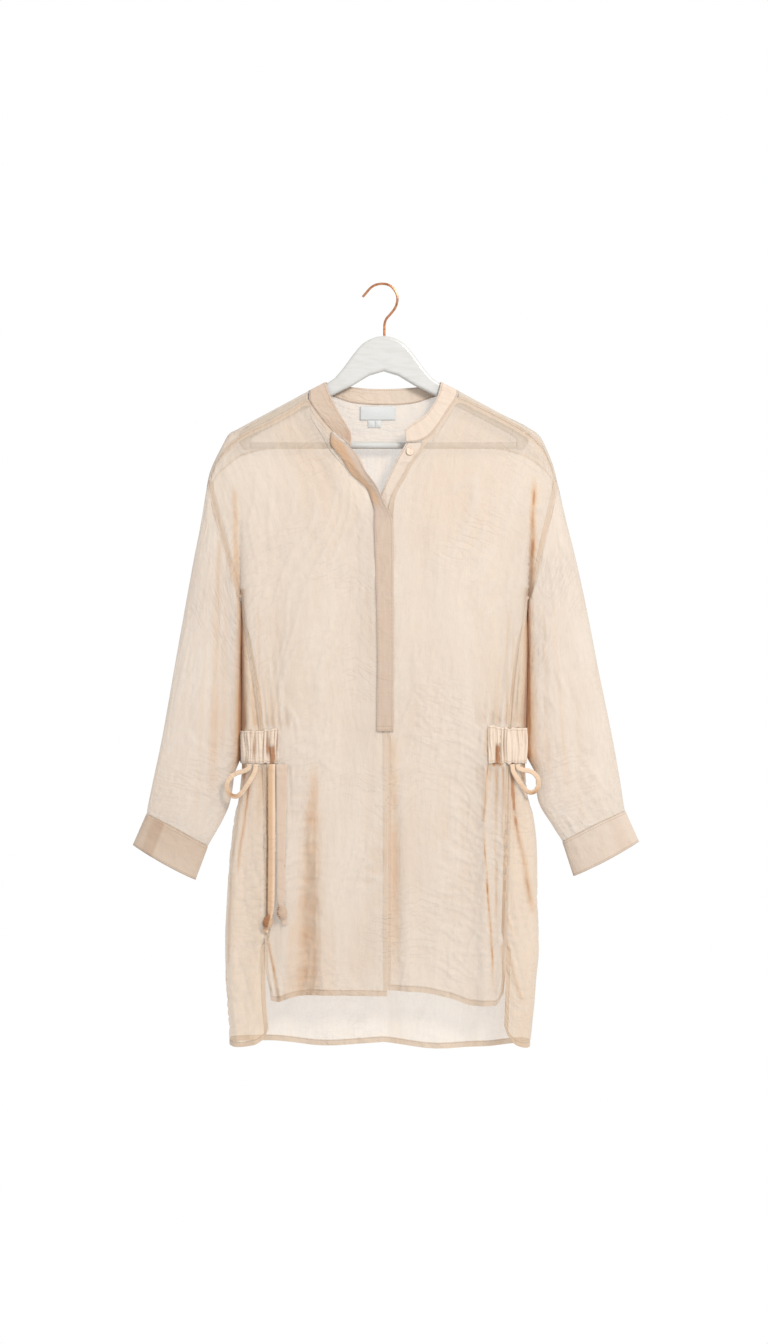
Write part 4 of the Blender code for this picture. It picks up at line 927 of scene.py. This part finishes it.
for side in SIDES:
    front = cloth_sheet(f"front_panel_{SIDES[side]}", FRONT_COLUMNS, FRONT_ROWS, front_place(side), FRONT_CUT)
    seam_u = (FRONT_CUT[0] - SIDE_SEAM) * MM
    hem_v = (FRONT_CUT[1] - HEM) * MM
    front_bands = (("v", hem_v, 1.0), ("u", -0.1, 0.006), ("u", seam_u, 1.0), ("v", -0.1, 0.008))
    front_sewing = (("v", hem_v + HEM_SEWING * MM), ("u", seam_u))
    front_cloth = cloth_finish(f"front_cloth_{SIDES[side]}", SEE_THROUGH, front_bands, front_sewing)
    dress(front, f"front_{SIDES[side]}", front_cloth)


# The yoke: one piece of the same cloth across the back of the neck and over both shoulders,
# creased over the hanger and felled to the fronts and the back with the seam turned upward.
COLLAR = table("seam_x seam_z top_x top_z face", (
    (-68.8, -200, -44, -221.5, -1),
    (-77.4, -190.5, -44.4, -203, -1),
    (-85.8, -180, -52, -188.5, -1),
    (-94.4, -168.5, -60, -175.5, -1),
    (-100.6, -157.5, -67.5, -160.5, -1),
    (-101, -149.8, -74, -146.5, -1),
    (-101, -146.4, -77.2, -136.4, -1),
    (-100.6, -144.2, -78.6, -132.4, 0),
    (-88, -146.4, -70, -133.8, 1),
    (-67, -151.4, -58, -135.6, 1),
    (-45, -158.5, -42, -137.8, 1),
    (-22, -161.3, -21, -139.6, 1),
    (0, -161.8, 0, -140.1, 1),
    (22, -161.8, 21, -139.6, 1),
    (45, -158.9, 42, -138.3, 1),
    (67, -152, 58, -136.2, 1),
    (88, -146.4, 70, -134, 1),
    (100.6, -144.2, 77.6, -132.5, 0),
    (101, -146.4, 77.2, -136, -1),
    (101, -149.8, 76, -142, -1),
    (98, -156.5, 73.3, -151, -1),
    (89.4, -168.5, 69.5, -160, -1),
    (79, -185, 64, -168.8, -1),
    (70.8, -197, 57, -177.5, -1),
    (61.4, -207.6, 48, -184.5, -1),
    (46.4, -214.6, 37.5, -191, -1),
    (30.6, -215.4, 28.8, -199.5, -1),
))
NECK_STEPS, SHOULDER_STEPS = 28, 44
FRONT_STEPS, BACK_STEPS = 16, 24
YOKE_COLUMNS, YOKE_ROWS = 2 * (NECK_STEPS + SHOULDER_STEPS), FRONT_STEPS + BACK_STEPS
# Where the neck ends along the fronts' top edge, and over how many steps the yoke's ends close
NECK_SHARE, CLOSING_STEPS = 0.20, 3.0
YOKE_CUT = (480.0, 150.0)
NeckPoint = namedtuple("NeckPoint", "outward z")
neck_points = [NeckPoint(abs(point.seam_x), point.seam_z) for point in COLLAR if point.face >= 0]
half = len(neck_points) // 2
YOKE_NECKS = {RIGHT_ARM: tuple(neck_points[half::-1]), LEFT_ARM: tuple(neck_points[half:])}


def place_yoke(across, down):
    side = RIGHT_ARM if across < 0.5 else LEFT_ARM
    step = abs(across - 0.5) * YOKE_COLUMNS
    row = down * YOKE_ROWS
    share = NECK_SHARE + (1.0 - NECK_SHARE) * max(step - NECK_STEPS, 0.0) / SHOULDER_STEPS
    outward = read_table(FRONT_TOP, "share", side_name(side, "x"), share) * min(step / NECK_STEPS, 1.0)
    closing = smooth_step((step - NECK_STEPS - SHOULDER_STEPS + CLOSING_STEPS) / CLOSING_STEPS)

    def shut(z, y):
        edge = read_table(OUTLINE, side_name(side, "z"), side_name(side, "x"), z)
        return side * blend(outward, max(edge, outward), closing), y * (1.0 - closing), z, 0.0

    ridge_z = read_table(OUTLINE, side_name(side, "x"), side_name(side, "z"), outward)
    neck_z = read_table(YOKE_NECKS[side], "outward", "z", outward)
    top_z = ridge_z if step > NECK_STEPS - 0.5 else neck_z
    ripple = creases(across * YOKE_CUT[0], down * YOKE_CUT[1], 51.0, 0.5)
    if row < FRONT_STEPS:
        front_z = read_table(FRONT_TOP, side_name(side, "x"), side_name(side, "z"), outward)
        z = blend(top_z, front_z, (1.0 - row / FRONT_STEPS) ** 2)
        return shut(z, front_y(side, outward, z, 0.5) * smooth_step((FRONT_STEPS - row) / 2.0))
    back_z = read_table(BACK_TOP, side_name(side, "x"), "z", outward)
    share = (row - FRONT_STEPS) / BACK_STEPS
    z = blend(top_z, back_z, blend(share, share ** 2, smooth_step((outward - 50.0) / 50.0)))
    lift = (0.5 - ripple) * smooth_step(share * 4.0)
    on_ridge = row <= FRONT_STEPS + 0.01 and step > NECK_STEPS - 0.5
    return shut(z, 0.0 if on_ridge else back_y(side, outward, z, lift))


def outside_yoke(column, row):
    return row < FRONT_STEPS and abs(column - NECK_STEPS - SHOULDER_STEPS) < NECK_STEPS


yoke = cloth_sheet("yoke_panel", YOKE_COLUMNS, YOKE_ROWS, place_yoke, YOKE_CUT, left_out=outside_yoke)
yoke_cloth = cloth_finish("yoke_cloth", SEE_THROUGH * 0.9, (("v", -0.1, 0.007),), (("v", 0.0075),))
dress(yoke, "yoke", yoke_cloth)


# The sleeves: long, cut straight, set on dropped shoulders. They hang beside the body as flat
# tubes, with long soft folds down to the cuff seam.
SLEEVE_FOLD_DEPTH = 2.6
# The sleeve's shaded inner edge, as a share of its width, and how far it presses into the body's
INNER_SHADE, RECESS_LAP = 0.08, 0.8
SLEEVE_COLUMNS, SLEEVE_LENGTHS = 120, 150
SLEEVE_CUT = (350.0, 500.0)
SLEEVE_CREAM = linear(200, 184, 167)


def sleeve_place(side):
    sections = SLEEVES[side]

    def place(around, down):
        angle = 2.0 * math.pi * around
        outer_x, outer_z, inner_x, inner_z, depth = read_curve(
            sections, down, "outer_x", "outer_z", "inner_x", "inner_z", "depth")
        across = (1.0 - math.cos(angle)) / 2.0
        outward, z = blend(outer_x, inner_x, across), blend(outer_z, inner_z, across)
        bulge = math.sin(math.pi * down)
        wave = noise.noise(Vector((around * 11.0, down * 1.6, side * 7.0))) * 1.6 * bulge * SLEEVE_FOLD_DEPTH
        wave *= math.sin(angle) ** 2
        ripple = creases(around * SLEEVE_CUT[0], down * SLEEVE_CUT[1], 71.0 + side, 1.15)
        front_half = math.sin(angle) > 0.0
        y = -math.sin(angle) * depth - math.copysign(wave, math.sin(angle))
        if down < 0.27:
            at_seam = front_y(side, outward, z) if front_half else back_y(side, outward, z)
            y = blend(at_seam, y, smooth_step(down / 0.27))
        free = abs(math.sin(angle)) ** 0.5 * smooth_step(down * 30.0) * smooth_step((1.0 - down) * 16.0)
        y -= math.copysign(ripple * free, math.sin(angle))
        if down < 0.001:
            outward -= 3.0 * (1.0 - across * 0.7)
            z += 1.0
            y *= 0.94
        # Shade is painted into the creases and the waves' valleys, and along the inner edge, most where it
        # lies beside the body.
        painted_shade_and_layers = max(-ripple, 0.0) * 0.10 + max(-wave, 0.0) * 0.06
        beside_body = smooth_step((z + 670.0) / 40.0) * smooth_step(down * 90.0)
        painted_shade_and_layers += math.exp(-((1.0 - across) / INNER_SHADE) ** 2) * (0.35 * bulge + 0.9 * beside_body)
        if front_half:
            painted_shade_and_layers += shade_depth(SLEEVE_SHADES, side * outward, z)
        gap = max(inner_x - body_edge(side, z) + RECESS_LAP, 0.0)
        outward -= gap * math.exp(-((1.0 - across) / 0.12) ** 2) * beside_body
        return side * outward, y, z, min(painted_shade_and_layers, 1.0)

    return place


for side in SIDES:
    sleeve = cloth_sheet(f"sleeve_panel_{SIDES[side]}", SLEEVE_COLUMNS, SLEEVE_LENGTHS, sleeve_place(side),
                         SLEEVE_CUT, closed=True)
    sleeve_bands = (("v", -0.1, 0.010), ("v", 0.494, 1.0))
    dress(sleeve, f"sleeve_{SIDES[side]}", cloth_finish(
        f"sleeve_cloth_{SIDES[side]}", SEE_THROUGH, sleeve_bands, (("v", 0.0105),), SLEEVE_CREAM))


# The cuffs: straight bands of doubled, stiffened cloth, each lapped and buttoned at the back of
# the wrist, where the lap's two more layers show through.
CuffEnd = namedtuple("CuffEnd", "outer_x outer_z inner_x inner_z depth")
CUFF_ENDS = {
    RIGHT_ARM: CuffEnd(340.1, -761.6, 256.4, -808.5, 11.5),
    LEFT_ARM: CuffEnd(346.7, -757.2, 259.1, -803.6, 11.5),
}
CUFF_WALL = 1.8
CUFF_CUT = (186.0, 54.0)
# The right cuff, on the side away from the key light, takes a darker copy of the cloth's colour as painted
# shade. The darker colour below serves both the laps' extra layers and the cuffs' painted shade.
CUFF_COLOURS = {RIGHT_ARM: linear(178, 161, 145), LEFT_ARM: linear(183, 168, 154)}
CUFF_LAP_AND_SHADE = linear(156, 132, 112)


def cuff_place(side):
    start, end = SLEEVES[side][-1], CUFF_ENDS[side]

    def place(around, down):
        share = blend(-0.01, 1.0, down)
        angle = 2.0 * math.pi * around
        across = (1.0 - math.cos(angle)) / 2.0
        outer = blend(start.outer_x, end.outer_x, share), blend(start.outer_z, end.outer_z, share)
        inner = blend(start.inner_x, end.inner_x, share), blend(start.inner_z, end.inner_z, share)
        ripple = creases(around * CUFF_CUT[0], down * CUFF_CUT[1], 91.0 + side, 0.4)
        depth = blend(start.depth, end.depth, share) + ripple * smooth_step(down * 4.0)
        outward, z = blend(outer[0], inner[0], across), blend(outer[1], inner[1], across)
        z += math.sin(math.pi * across) * 2.0 * (share - 0.5) * -1.6
        lap = smooth_step((across - 0.10) * 30.0) * smooth_step((0.33 - across) * 30.0) * math.sin(angle)
        # Painted shade in the creases, and over the right cuff, deepest at its top; the lap's extra layers
        # show darker, much more on the right cuff.
        deeper = 0.28 * (1.0 - share) if side == RIGHT_ARM else 0.0
        tone = 0.12 * max(-ripple, 0.0) + deeper + max(lap, 0.0) * (0.6 if side == RIGHT_ARM else 0.15)
        return side * outward, -math.sin(angle) * depth, z, tone

    return place


for side in SIDES:
    cuff = cloth_sheet(
        f"cuff_band_{SIDES[side]}", 72, 18, cuff_place(side), CUFF_CUT, closed=True, wall=CUFF_WALL)
    dress(cuff, f"cuff_{SIDES[side]}", cloth_finish(
        f"cuff_cloth_{SIDES[side]}", 0.0, (), (("v", 0.003), ("v", 0.051)),
        colour=CUFF_COLOURS[side], fold=CUFF_LAP_AND_SHADE, crease=0.9))


# The collar: a low standing band of doubled, stiffened cloth round the neck, sewn to the yoke and
# the fronts along its lower edge and open in front.
RIDGE_CROSSING = 4.0
BAND_WALL = 1.4
COLLAR_CUT = (420.0, 26.0)
# The collar's colour, and the colour its painted shade mixes towards.
COLLAR_COLOUR, COLLAR_FOLD = linear(186, 171, 156), linear(156, 136, 120)


def place_collar(along, up):
    seam_x, seam_z, top_x, top_z, face = read_curve(
        COLLAR, along, "seam_x", "seam_z", "top_x", "top_z", "face")
    x, z = blend(seam_x, top_x, up), blend(seam_z, top_z, up)
    side = RIGHT_ARM if x < 0.0 else LEFT_ARM
    growth, limit = (FRONT_GROWTH, FRONT_DEPTH) if face < 0.0 else (BACK_GROWTH, BACK_DEPTH)
    depth = swell(outline_distance(side, abs(x), z), growth, limit)
    ripple = creases(along * COLLAR_CUT[0], up * COLLAR_CUT[1], 5.0, 0.3) * smooth_step(up * 3.0)
    # Painted shade: over the collar's end on the wearer's right front, turned away from the light, deepest
    # and broken into streaks at its tip; and a narrow line of it across the band on the wearer's left, where
    # it is tucked.
    shaded = 0.55 * smooth_step((0.30 - along) * 9.0) * (0.7 + 0.3 * up)
    shade_streaks = smooth_step(noise.noise(Vector((along * 60.0, up, 2.0))) + 0.7)
    shaded += 0.3 * smooth_step((0.10 - along) * 14.0) * shade_streaks
    tucked = 0.9 * math.exp(-((along - 0.645) / 0.02) ** 2) * (1.0 - up) if face > -0.5 else 0.0
    y = depth * min(max(RIDGE_CROSSING * face, -1.0), 1.0) - ripple * 0.6
    return x, y, z, 0.05 * max(-ripple, 0.0) + shaded + tucked


collar = cloth_sheet("collar_band", 220, 12, place_collar, COLLAR_CUT, wall=BAND_WALL)
dress(collar, "collar", cloth_finish(
    "collar_cloth", 0.0, (("v", -0.1, 0.0028),), (("v", 0.0018), ("v", 0.0235)),
    colour=COLLAR_COLOUR, fold=COLLAR_FOLD, crease=0.8))


# The placket: two bands of doubled cloth along the fronts' edges. The upper one lies folded open
# at the neck and is stitched down across its lower end; the lower one carries the button.
BAND = "outer_x outer_z inner_x inner_z stand"
TOP_PLACKET = table(BAND, (
    (-70.4, -201.5, -43.6, -224.5, 1),
    (-71.4, -217.1, -34, -235, 3),
    (-63.8, -229.3, -28.5, -245, 4.5),
    (-55.1, -240.2, -23.5, -256, 5.5),
    (-45.6, -257, -15, -267, 5.5),
    (-31, -270.6, -7.9, -277.5, 5),
    (-21.1, -280.2, -3.5, -287.5, 4),
    (-15.6, -295.1, 1.5, -299, 2.5),
    (-12.6, -308, 8, -311, 1),
    (-12.9, -327.8, 13, -328, 0),
    (-11.3, -380, 13.6, -380, 0),
    (-9.8, -435, 13.6, -435, 0),
    (-8.3, -507, 13.8, -507, 0),
    (-9, -560, 13.6, -560, 0),
    (-9.4, -606.6, 13.6, -606.6, 0),
))
UNDER_PLACKET = table(BAND, (
    (30.5, -216.6, 57.5, -215.6, 0),
    (24.9, -225.8, 54, -224, 0),
    (19.5, -236, 43, -240, 0),
    (14.8, -245.5, 36, -250, 0),
    (7.6, -261, 29, -265, 0),
    (0.7, -276.6, 20, -280, 0),
    (-5, -292, 15, -296, 0),
    (-8.5, -330, 13, -330, 0),
    (-7, -420, 13, -420, 0),
    (-7, -510, 13, -510, 0),
    (-7, -604, 13, -604, 0),
))
LAYER_LIFT = 1.65
PLACKET_WALL = 1.0
PLACKET_CUT = (24.0, 420.0)
PLACKET_COLOUR, UNDER_COLOUR = linear(170, 152, 137), linear(186, 171, 157)
# Rows of sewing down both edges, and two across the upper band's lower end
EDGE_ROWS, END_ROWS = (("u", 0.0022), ("u", 0.0214)), (("v", 0.4135), ("v", 0.4175))


def placket_place(sections, lift):
    def place(across, down):
        outer_x, outer_z, inner_x, inner_z, stand = read_curve(
            sections, down, "outer_x", "outer_z", "inner_x", "inner_z", "stand")
        x, z = blend(outer_x, inner_x, across), blend(outer_z, inner_z, across)
        side = RIGHT_ARM if x < 0.0 else LEFT_ARM
        ripple = creases(across * PLACKET_CUT[0] + 200.0, down * PLACKET_CUT[1], lift, 0.35)
        # Painted shade over the outer half of the upper band, where it lies folded open at the neck, turned
        # away from the light.
        folded_open = smooth_step((0.56 - down) / 0.08) * smooth_step((down - 0.01) / 0.04)
        tone = 0.75 * folded_open * smooth_step((0.66 - across) / 0.15) if lift > 0.0 else 0.0
        return x, front_y(side, abs(x), z, lift + stand * across + ripple * smooth_step(down * 9.0)), z, tone

    return place


top_placket = cloth_sheet(
    "placket_over", 14, 220, placket_place(TOP_PLACKET, LAYER_LIFT), PLACKET_CUT, wall=PLACKET_WALL)
dress(top_placket, "placket_top", cloth_finish(
    "placket_cloth", 0.0, (), END_ROWS + EDGE_ROWS, colour=PLACKET_COLOUR, crease=0.7))

under_placket = cloth_sheet(
    "placket_behind", 14, 200, placket_place(UNDER_PLACKET, -LAYER_LIFT), PLACKET_CUT, wall=PLACKET_WALL)
dress(under_placket, "placket_under", cloth_finish(
    "under_placket_cloth", 0.0, (), EDGE_ROWS, colour=UNDER_COLOUR, crease=0.7))


# The casings: a channel at each side of the waist, sewn top and bottom and drawn up small by the
# tape inside it, from the front round the body's edge to the back.
CASING_LIFT, CASING_WAVE, CASING_GATHERS = 1.2, 2.4, 40.0
# The casing's colour, and the colour its painted shade mixes towards.
CASING_COLOUR, CASING_GROOVE = linear(198, 182, 166), linear(146, 120, 102)
CASING_SLOPE, CASING_WALL = 4.0, 0.6
# Where along each casing the tape comes out of it
TAPE_EXITS = {RIGHT_ARM: 0.075, LEFT_ARM: 0.115}
CASING_CUT = (150.0, 46.0)


def casing_place(side):
    casing = CASINGS[side]

    def place(along, down):
        z = blend(casing.top_z, casing.bottom_z, down)
        start = -(quarter_wrap(side, z) + body_edge(side, z) - EDGE_REACH - casing.front_x)
        travel = blend(start, casing.back_reach, along)
        puff = math.sin(math.pi * down) ** 0.5
        drift = noise.noise(Vector((along * 9.0, down * 1.3, side * 3.0)))
        waves = noise.noise(Vector((along * CASING_GATHERS + drift, down * 0.9, side * 4.0)))
        rise = smooth_step(0.5 + waves * 1.3)
        ripple = creases(along * CASING_CUT[0] * 2.0, down * CASING_CUT[1], 61.0 + side, 0.4)
        pucker = noise.noise(Vector((along * 22.0, side * 5.0, 1.0))) * 2.2 * (1.0 - puff)
        stand = (rise * CASING_WAVE + ripple) * (0.35 + 0.65 * puff)
        x, y, z = wrapped_point(side, z, travel, CASING_LIFT, stand)
        # Painted shade in the grooves between the gathers, patchy along the casing, and in the opening where
        # the tape comes out.
        strength = smooth_step(noise.noise(Vector((along * 13.0, down * 1.2, side * 8.0))) * 1.8 + 0.5)
        deep = (1.0 - rise) ** 2 * (0.4 + 0.6 * puff) * strength * 0.9
        mouth = math.exp(-((along - TAPE_EXITS[side]) / 0.035) ** 4) * smooth_step((down - 0.40) * 6.0)
        slope = CASING_SLOPE * smooth_step((0.25 - along) / 0.25) * (1.0 - down)
        return x, y, z + pucker + slope, min(deep + mouth, 1.0)

    return place


for side in SIDES:
    casing = cloth_sheet(f"casing_band_{SIDES[side]}", 210, 26, casing_place(side), CASING_CUT,
                         wall=CASING_WALL)
    dress(casing, f"casing_{SIDES[side]}", cloth_finish(
        f"casing_cloth_{SIDES[side]}", 0.0, (), (("v", 0.003), ("v", 0.043), ("u", 0.003), ("u", 0.012)),
        colour=CASING_COLOUR, fold=CASING_GROOVE, crease=0.9))


# The drawn tapes: folded and stitched strips of the cloth. On the wearer's right both ends hang
# free below the casing, each knotted near its tip; at each edge of the body the tape loops out.
TIE = "x z width thickness"
TIES = {
    "tie_1": table(TIE, (
        (-151, -650.6, 9.5, 1.4),
        (-151.2, -700, 9.4, 1.4),
        (-151, -760, 9.4, 1.4),
        (-151.4, -820, 9.4, 1.4),
        (-152, -846, 9, 1.5),
        (-153, -855, 7, 4),
        (-154.4, -859, 12.5, 7),
        (-156, -864, 14, 8),
        (-157.2, -869, 12, 6),
        (-158.2, -872, 8, 2.4),
        (-160, -877.5, 9, 1.4),
    )),
    "tie_2": table(TIE, (
        (-137.6, -650.6, 14.5, 1.4),
        (-137.4, -690, 14, 1.4),
        (-137.8, -740, 12.4, 1.4),
        (-138, -800, 11, 1.4),
        (-138.2, -832, 10.6, 1.5),
        (-138, -840, 7, 4),
        (-137.4, -845, 12, 7),
        (-136.6, -851, 14, 8),
        (-135, -857, 11, 5),
        (-134, -861, 8, 2.4),
        (-132.6, -867, 9, 1.4),
    )),
}
TIE_STAND, KNOT_STAND = 2.6, 6.0
TAPE_WALL, TAPE_CUT = 1.4, (22.0, 230.0)
TIE_STEPS, LOOP_STEPS = 90, 60
TAPE_COLOURS = {"tie_1": linear(202, 178, 154), "tie_2": linear(180, 161, 145)}
TapePoint = namedtuple("TapePoint", "place width thickness")


def tape_sheet(name, points, tone, colour):
    """A flat tape along a route in the cloth's plane, its broad face to the front, and knotted where
    it is thick."""
    def place(around, down):
        number = round(down * (len(points) - 1))
        spot, width, thickness = points[number]
        run = points[min(number + 1, len(points) - 1)].place - points[max(number - 1, 0)].place
        broad = run.cross(Vector((0.0, -1.0, 0.0))).normalized()
        angle = 2.0 * math.pi * around
        knotted = smooth_step((thickness - TAPE_WALL) / 5.0)
        wrap = knotted * 0.9 * math.sin(angle * 2.0 + down * 160.0)
        flat = 0.5 + 0.5 * knotted
        aside = math.copysign(abs(math.cos(angle)) ** flat, math.cos(angle)) * (width / 2.0 + wrap * 0.5)
        depth = math.sin(angle) * (thickness / 2.0 + wrap * 0.6)
        twist = creases(spot.x * 3.0, spot.z, 17.0, 0.3) * (1.0 - knotted)
        spot = spot + broad * aside + Vector((0.0, depth + twist, 0.0))
        return *spot, tone(math.cos(angle), down, knotted)

    tape = cloth_sheet(name, 20, len(points) - 1, place, TAPE_CUT, closed=True)
    shell = bmesh.new()
    shell.from_mesh(tape.data)
    bmesh.ops.holes_fill(shell, edges=[edge for edge in shell.edges if edge.is_boundary])
    bmesh.ops.recalc_face_normals(shell, faces=shell.faces)
    shell.to_mesh(tape.data)
    shell.free()
    tape.data.materials.append(cloth_finish(f"{name}_cloth", 0.0, (), (("u", 0.003), ("u", 0.009)),
                                            colour=colour, crease=0.8))
    route = [point.place * MM for point in points]
    length = sum((b - a).length for a, b in zip(route, route[1:]))
    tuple(route[0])
    points[0].width * MM
    return tape


# Painted shade on the ties: over one half of tie_1 and in its knot; on tie_2 along one edge of its lower
# part, broken into specks, and in its knot.
def tie_tone(name):
    def tone(aside, down, knotted):
        if name == "tie_1":
            return 0.75 * smooth_step(aside * 2.0 + 0.9) + 0.5 * knotted
        speckle = smooth_step(noise.noise(Vector((down * 210.0, aside, 6.0))) * 2.0 + 0.6)
        lower_edge = smooth_step((aside - 0.3) * 3.0) * smooth_step((down - 0.42) * 8.0)
        return 0.75 * lower_edge * speckle + 0.3 * knotted

    return tone


for name, sections in TIES.items():
    tape_points = []
    for step in range(TIE_STEPS + 1):
        x, z, width, thickness = read_curve(sections, step / TIE_STEPS, "x", "z", "width", "thickness")
        under = min(front_y(RIGHT_ARM, abs(x) + reach, z) for reach in (-width / 2.0, 0.0, width / 2.0))
        stand = blend(TIE_STAND, KNOT_STAND, smooth_step((thickness - TAPE_WALL) / 5.0))
        tape_points.append(TapePoint(Vector((x, under - stand, z)), width, thickness))
    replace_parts(tape_sheet(f"tape_{name}", tape_points, tie_tone(name), TAPE_COLOURS[name]), name)

LOOP = "outward y z"
LOOPS = {
    RIGHT_ARM: table(LOOP, (
        (181, -24.6, -650.8),
        (182.4, -24.8, -656.4),
        (189, -24.4, -660.2),
        (197.6, -23.6, -662.6),
        (205.4, -22.8, -667.6),
        (210.8, -22.4, -675.4),
        (211.4, -22.4, -684.6),
        (206.8, -22.6, -692.2),
        (199, -23.4, -694.4),
        (191.6, -24.2, -689.4),
        (185, -25, -680.4),
        (178.8, -25.6, -670.6),
        (173.8, -25.8, -660.6),
        (172.4, -25.4, -650.8),
    )),
    LEFT_ARM: table(LOOP, (
        (181, -24.6, -650.8),
        (182.4, -24.8, -656),
        (189, -24.4, -658.6),
        (197.4, -23.6, -660),
        (204.6, -22.8, -664.4),
        (209, -22.4, -671.8),
        (209, -22.4, -680.4),
        (204.6, -22.6, -687.2),
        (197.4, -23.4, -688.8),
        (190.6, -24.2, -684.2),
        (184.8, -25, -676.4),
        (179.4, -25.6, -668.2),
        (175, -25.8, -660),
        (173.8, -25.4, -650.8),
    )),
}
LOOP_WIDTH, LOOP_WALL = 6.4, 1.7


# Painted shade on the loops: a little all over, and more round the lowest bend, fading out towards one edge.
def loop_tone(aside, down, knotted):
    return 0.15 + 0.75 * math.exp(-((down - 0.56) / 0.13) ** 2) * smooth_step(0.9 - aside)


for side in SIDES:
    loop_points = []
    for step in range(LOOP_STEPS + 1):
        outward, y, z = read_curve(LOOPS[side], step / LOOP_STEPS, "outward", "y", "z")
        loop_points.append(TapePoint(Vector((side * outward, y, z)), LOOP_WIDTH, LOOP_WALL))
    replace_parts(tape_sheet(f"tape_loop_{SIDES[side]}", loop_points, loop_tone, TAPE_COLOURS["tie_1"]),
                f"loop_{SIDES[side]}")


# The buttons: small turned discs of dyed resin with a raised rim and four holes, sewn on through
# them. One shows on the lower placket band; one closes each cuff at the back of the wrist.
BUTTON_RADIUS, BUTTON_THICKNESS = 5.0, 2.2
BUTTON_RIM, BUTTON_DISH = 0.9, 0.5
HOLE_OFFSET, THREAD_RADIUS = 0.9, 0.42
RESIN, RESIN_DARK = linear(212, 190, 172), linear(190, 166, 148)

resin = Finish("button_resin", 0.28, **{"Coat Weight": 0.3})
swirl = resin.ramp(resin.noise(resin.place(), 420.0, 3.0), 0.35, 0.7)
resin.put(resin.shader, {"Base Color": resin.mix(swirl, RESIN, RESIN_DARK)})
for name in ("neck_button", "cuff_button_right", "cuff_button_left"):
    low, high = (Vector(corner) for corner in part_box(name))
    centre = (low + high) / 2.0
    facing = 1.0 if name != "neck_button" else -1.0
    disc = bmesh.new()
    bmesh.ops.create_circle(disc, cap_ends=True, segments=40, radius=BUTTON_RADIUS * MM)
    pushed = bmesh.ops.extrude_face_region(disc, geom=disc.faces[:])
    bmesh.ops.translate(disc, vec=(0.0, 0.0, BUTTON_THICKNESS * MM),
                        verts=[item for item in pushed["geom"] if isinstance(item, bmesh.types.BMVert)])
    cap = [item for item in pushed["geom"] if isinstance(item, bmesh.types.BMFace)]
    bmesh.ops.inset_region(disc, faces=cap, thickness=BUTTON_RIM * MM, depth=0.0)
    bmesh.ops.inset_region(disc, faces=cap, thickness=0.3 * MM, depth=-BUTTON_DISH * MM)
    bmesh.ops.recalc_face_normals(disc, faces=disc.faces)
    bmesh.ops.translate(disc, vec=(0.0, 0.0, -BUTTON_THICKNESS / 2.0 * MM), verts=disc.verts)
    for hole_x in (-HOLE_OFFSET, HOLE_OFFSET):
        for hole_y in (-HOLE_OFFSET, HOLE_OFFSET):
            thread = bmesh.ops.create_uvsphere(disc, u_segments=8, v_segments=6, radius=THREAD_RADIUS * MM)
            spot = Vector((hole_x, hole_y, BUTTON_THICKNESS / 2.0 - 0.45)) * MM
            bmesh.ops.translate(disc, vec=spot, verts=thread["verts"])
    turn = Vector((0.0, facing, 0.0)).to_track_quat("Z", "Y").to_matrix()
    bmesh.ops.rotate(disc, cent=(0.0, 0.0, 0.0), matrix=turn, verts=disc.verts)
    bmesh.ops.translate(disc, vec=centre, verts=disc.verts)
    mesh = bpy.data.meshes.new(f"{name}_disc")
    disc.to_mesh(mesh)
    disc.free()
    button = bpy.data.objects.new(f"{name}_disc", mesh)
    bpy.context.collection.objects.link(button)
    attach(button, "root")
    dress(button, name, resin.material)


# The label: a blank woven tape sewn to the inside of the yoke at the back of the neck, with two
# small tabs of the same tape below it.
Label = namedtuple("Label", "name left right top bottom")
LABELS = (
    Label("neck_label", -32.0, 16.0, -164.2, -182.6),
    Label("fibre_tab", -21.0, -12.0, -183.0, -192.4),
    Label("size_tab", -11.4, -3.4, -183.0, -192.4),
)
LABEL_WALL, LABEL_LIFT = 0.5, -1.35
SATIN, SATIN_DARK = linear(186, 187, 186), linear(174, 175, 173)

satin = Finish("label_tape", 0.55)
across_tape = satin.node("ShaderNodeSeparateXYZ", None, {0: satin.place()}, output=0)
speck = satin.noise(satin.place(), 600.0, 2.0)
satin.put(satin.shader, {"Base Color": satin.mix(speck, SATIN, SATIN_DARK)})
satin.relief((across_tape * 9000.0).math("SINE") * 0.00004)
for label in LABELS:
    def place_label(across, down):
        x, z = blend(label.left, label.right, across), blend(label.top, label.bottom, down)
        side = RIGHT_ARM if x < 0.0 else LEFT_ARM
        curl = 0.8 * math.sin(math.pi * down) * math.sin(math.pi * across)
        return x, back_y(side, abs(x), z, LABEL_LIFT - curl), z, 0.0

    label_cut = (label.right - label.left, label.top - label.bottom)
    piece = cloth_sheet(f"{label.name}_tape", 24, 12, place_label, label_cut, wall=LABEL_WALL)
    dress(piece, label.name, satin.material)


# The floor's pale matt paper, a little uneven in tone.
PAPER, PAPER_DARK = linear(244, 243, 240), linear(238, 237, 234)

paper = Finish("pale_paper", 0.9)
paper.put(paper.shader, {"Base Color": paper.mix(paper.noise(paper.place(), 3.0), PAPER, PAPER_DARK)})
floor.data.materials.append(paper.material)
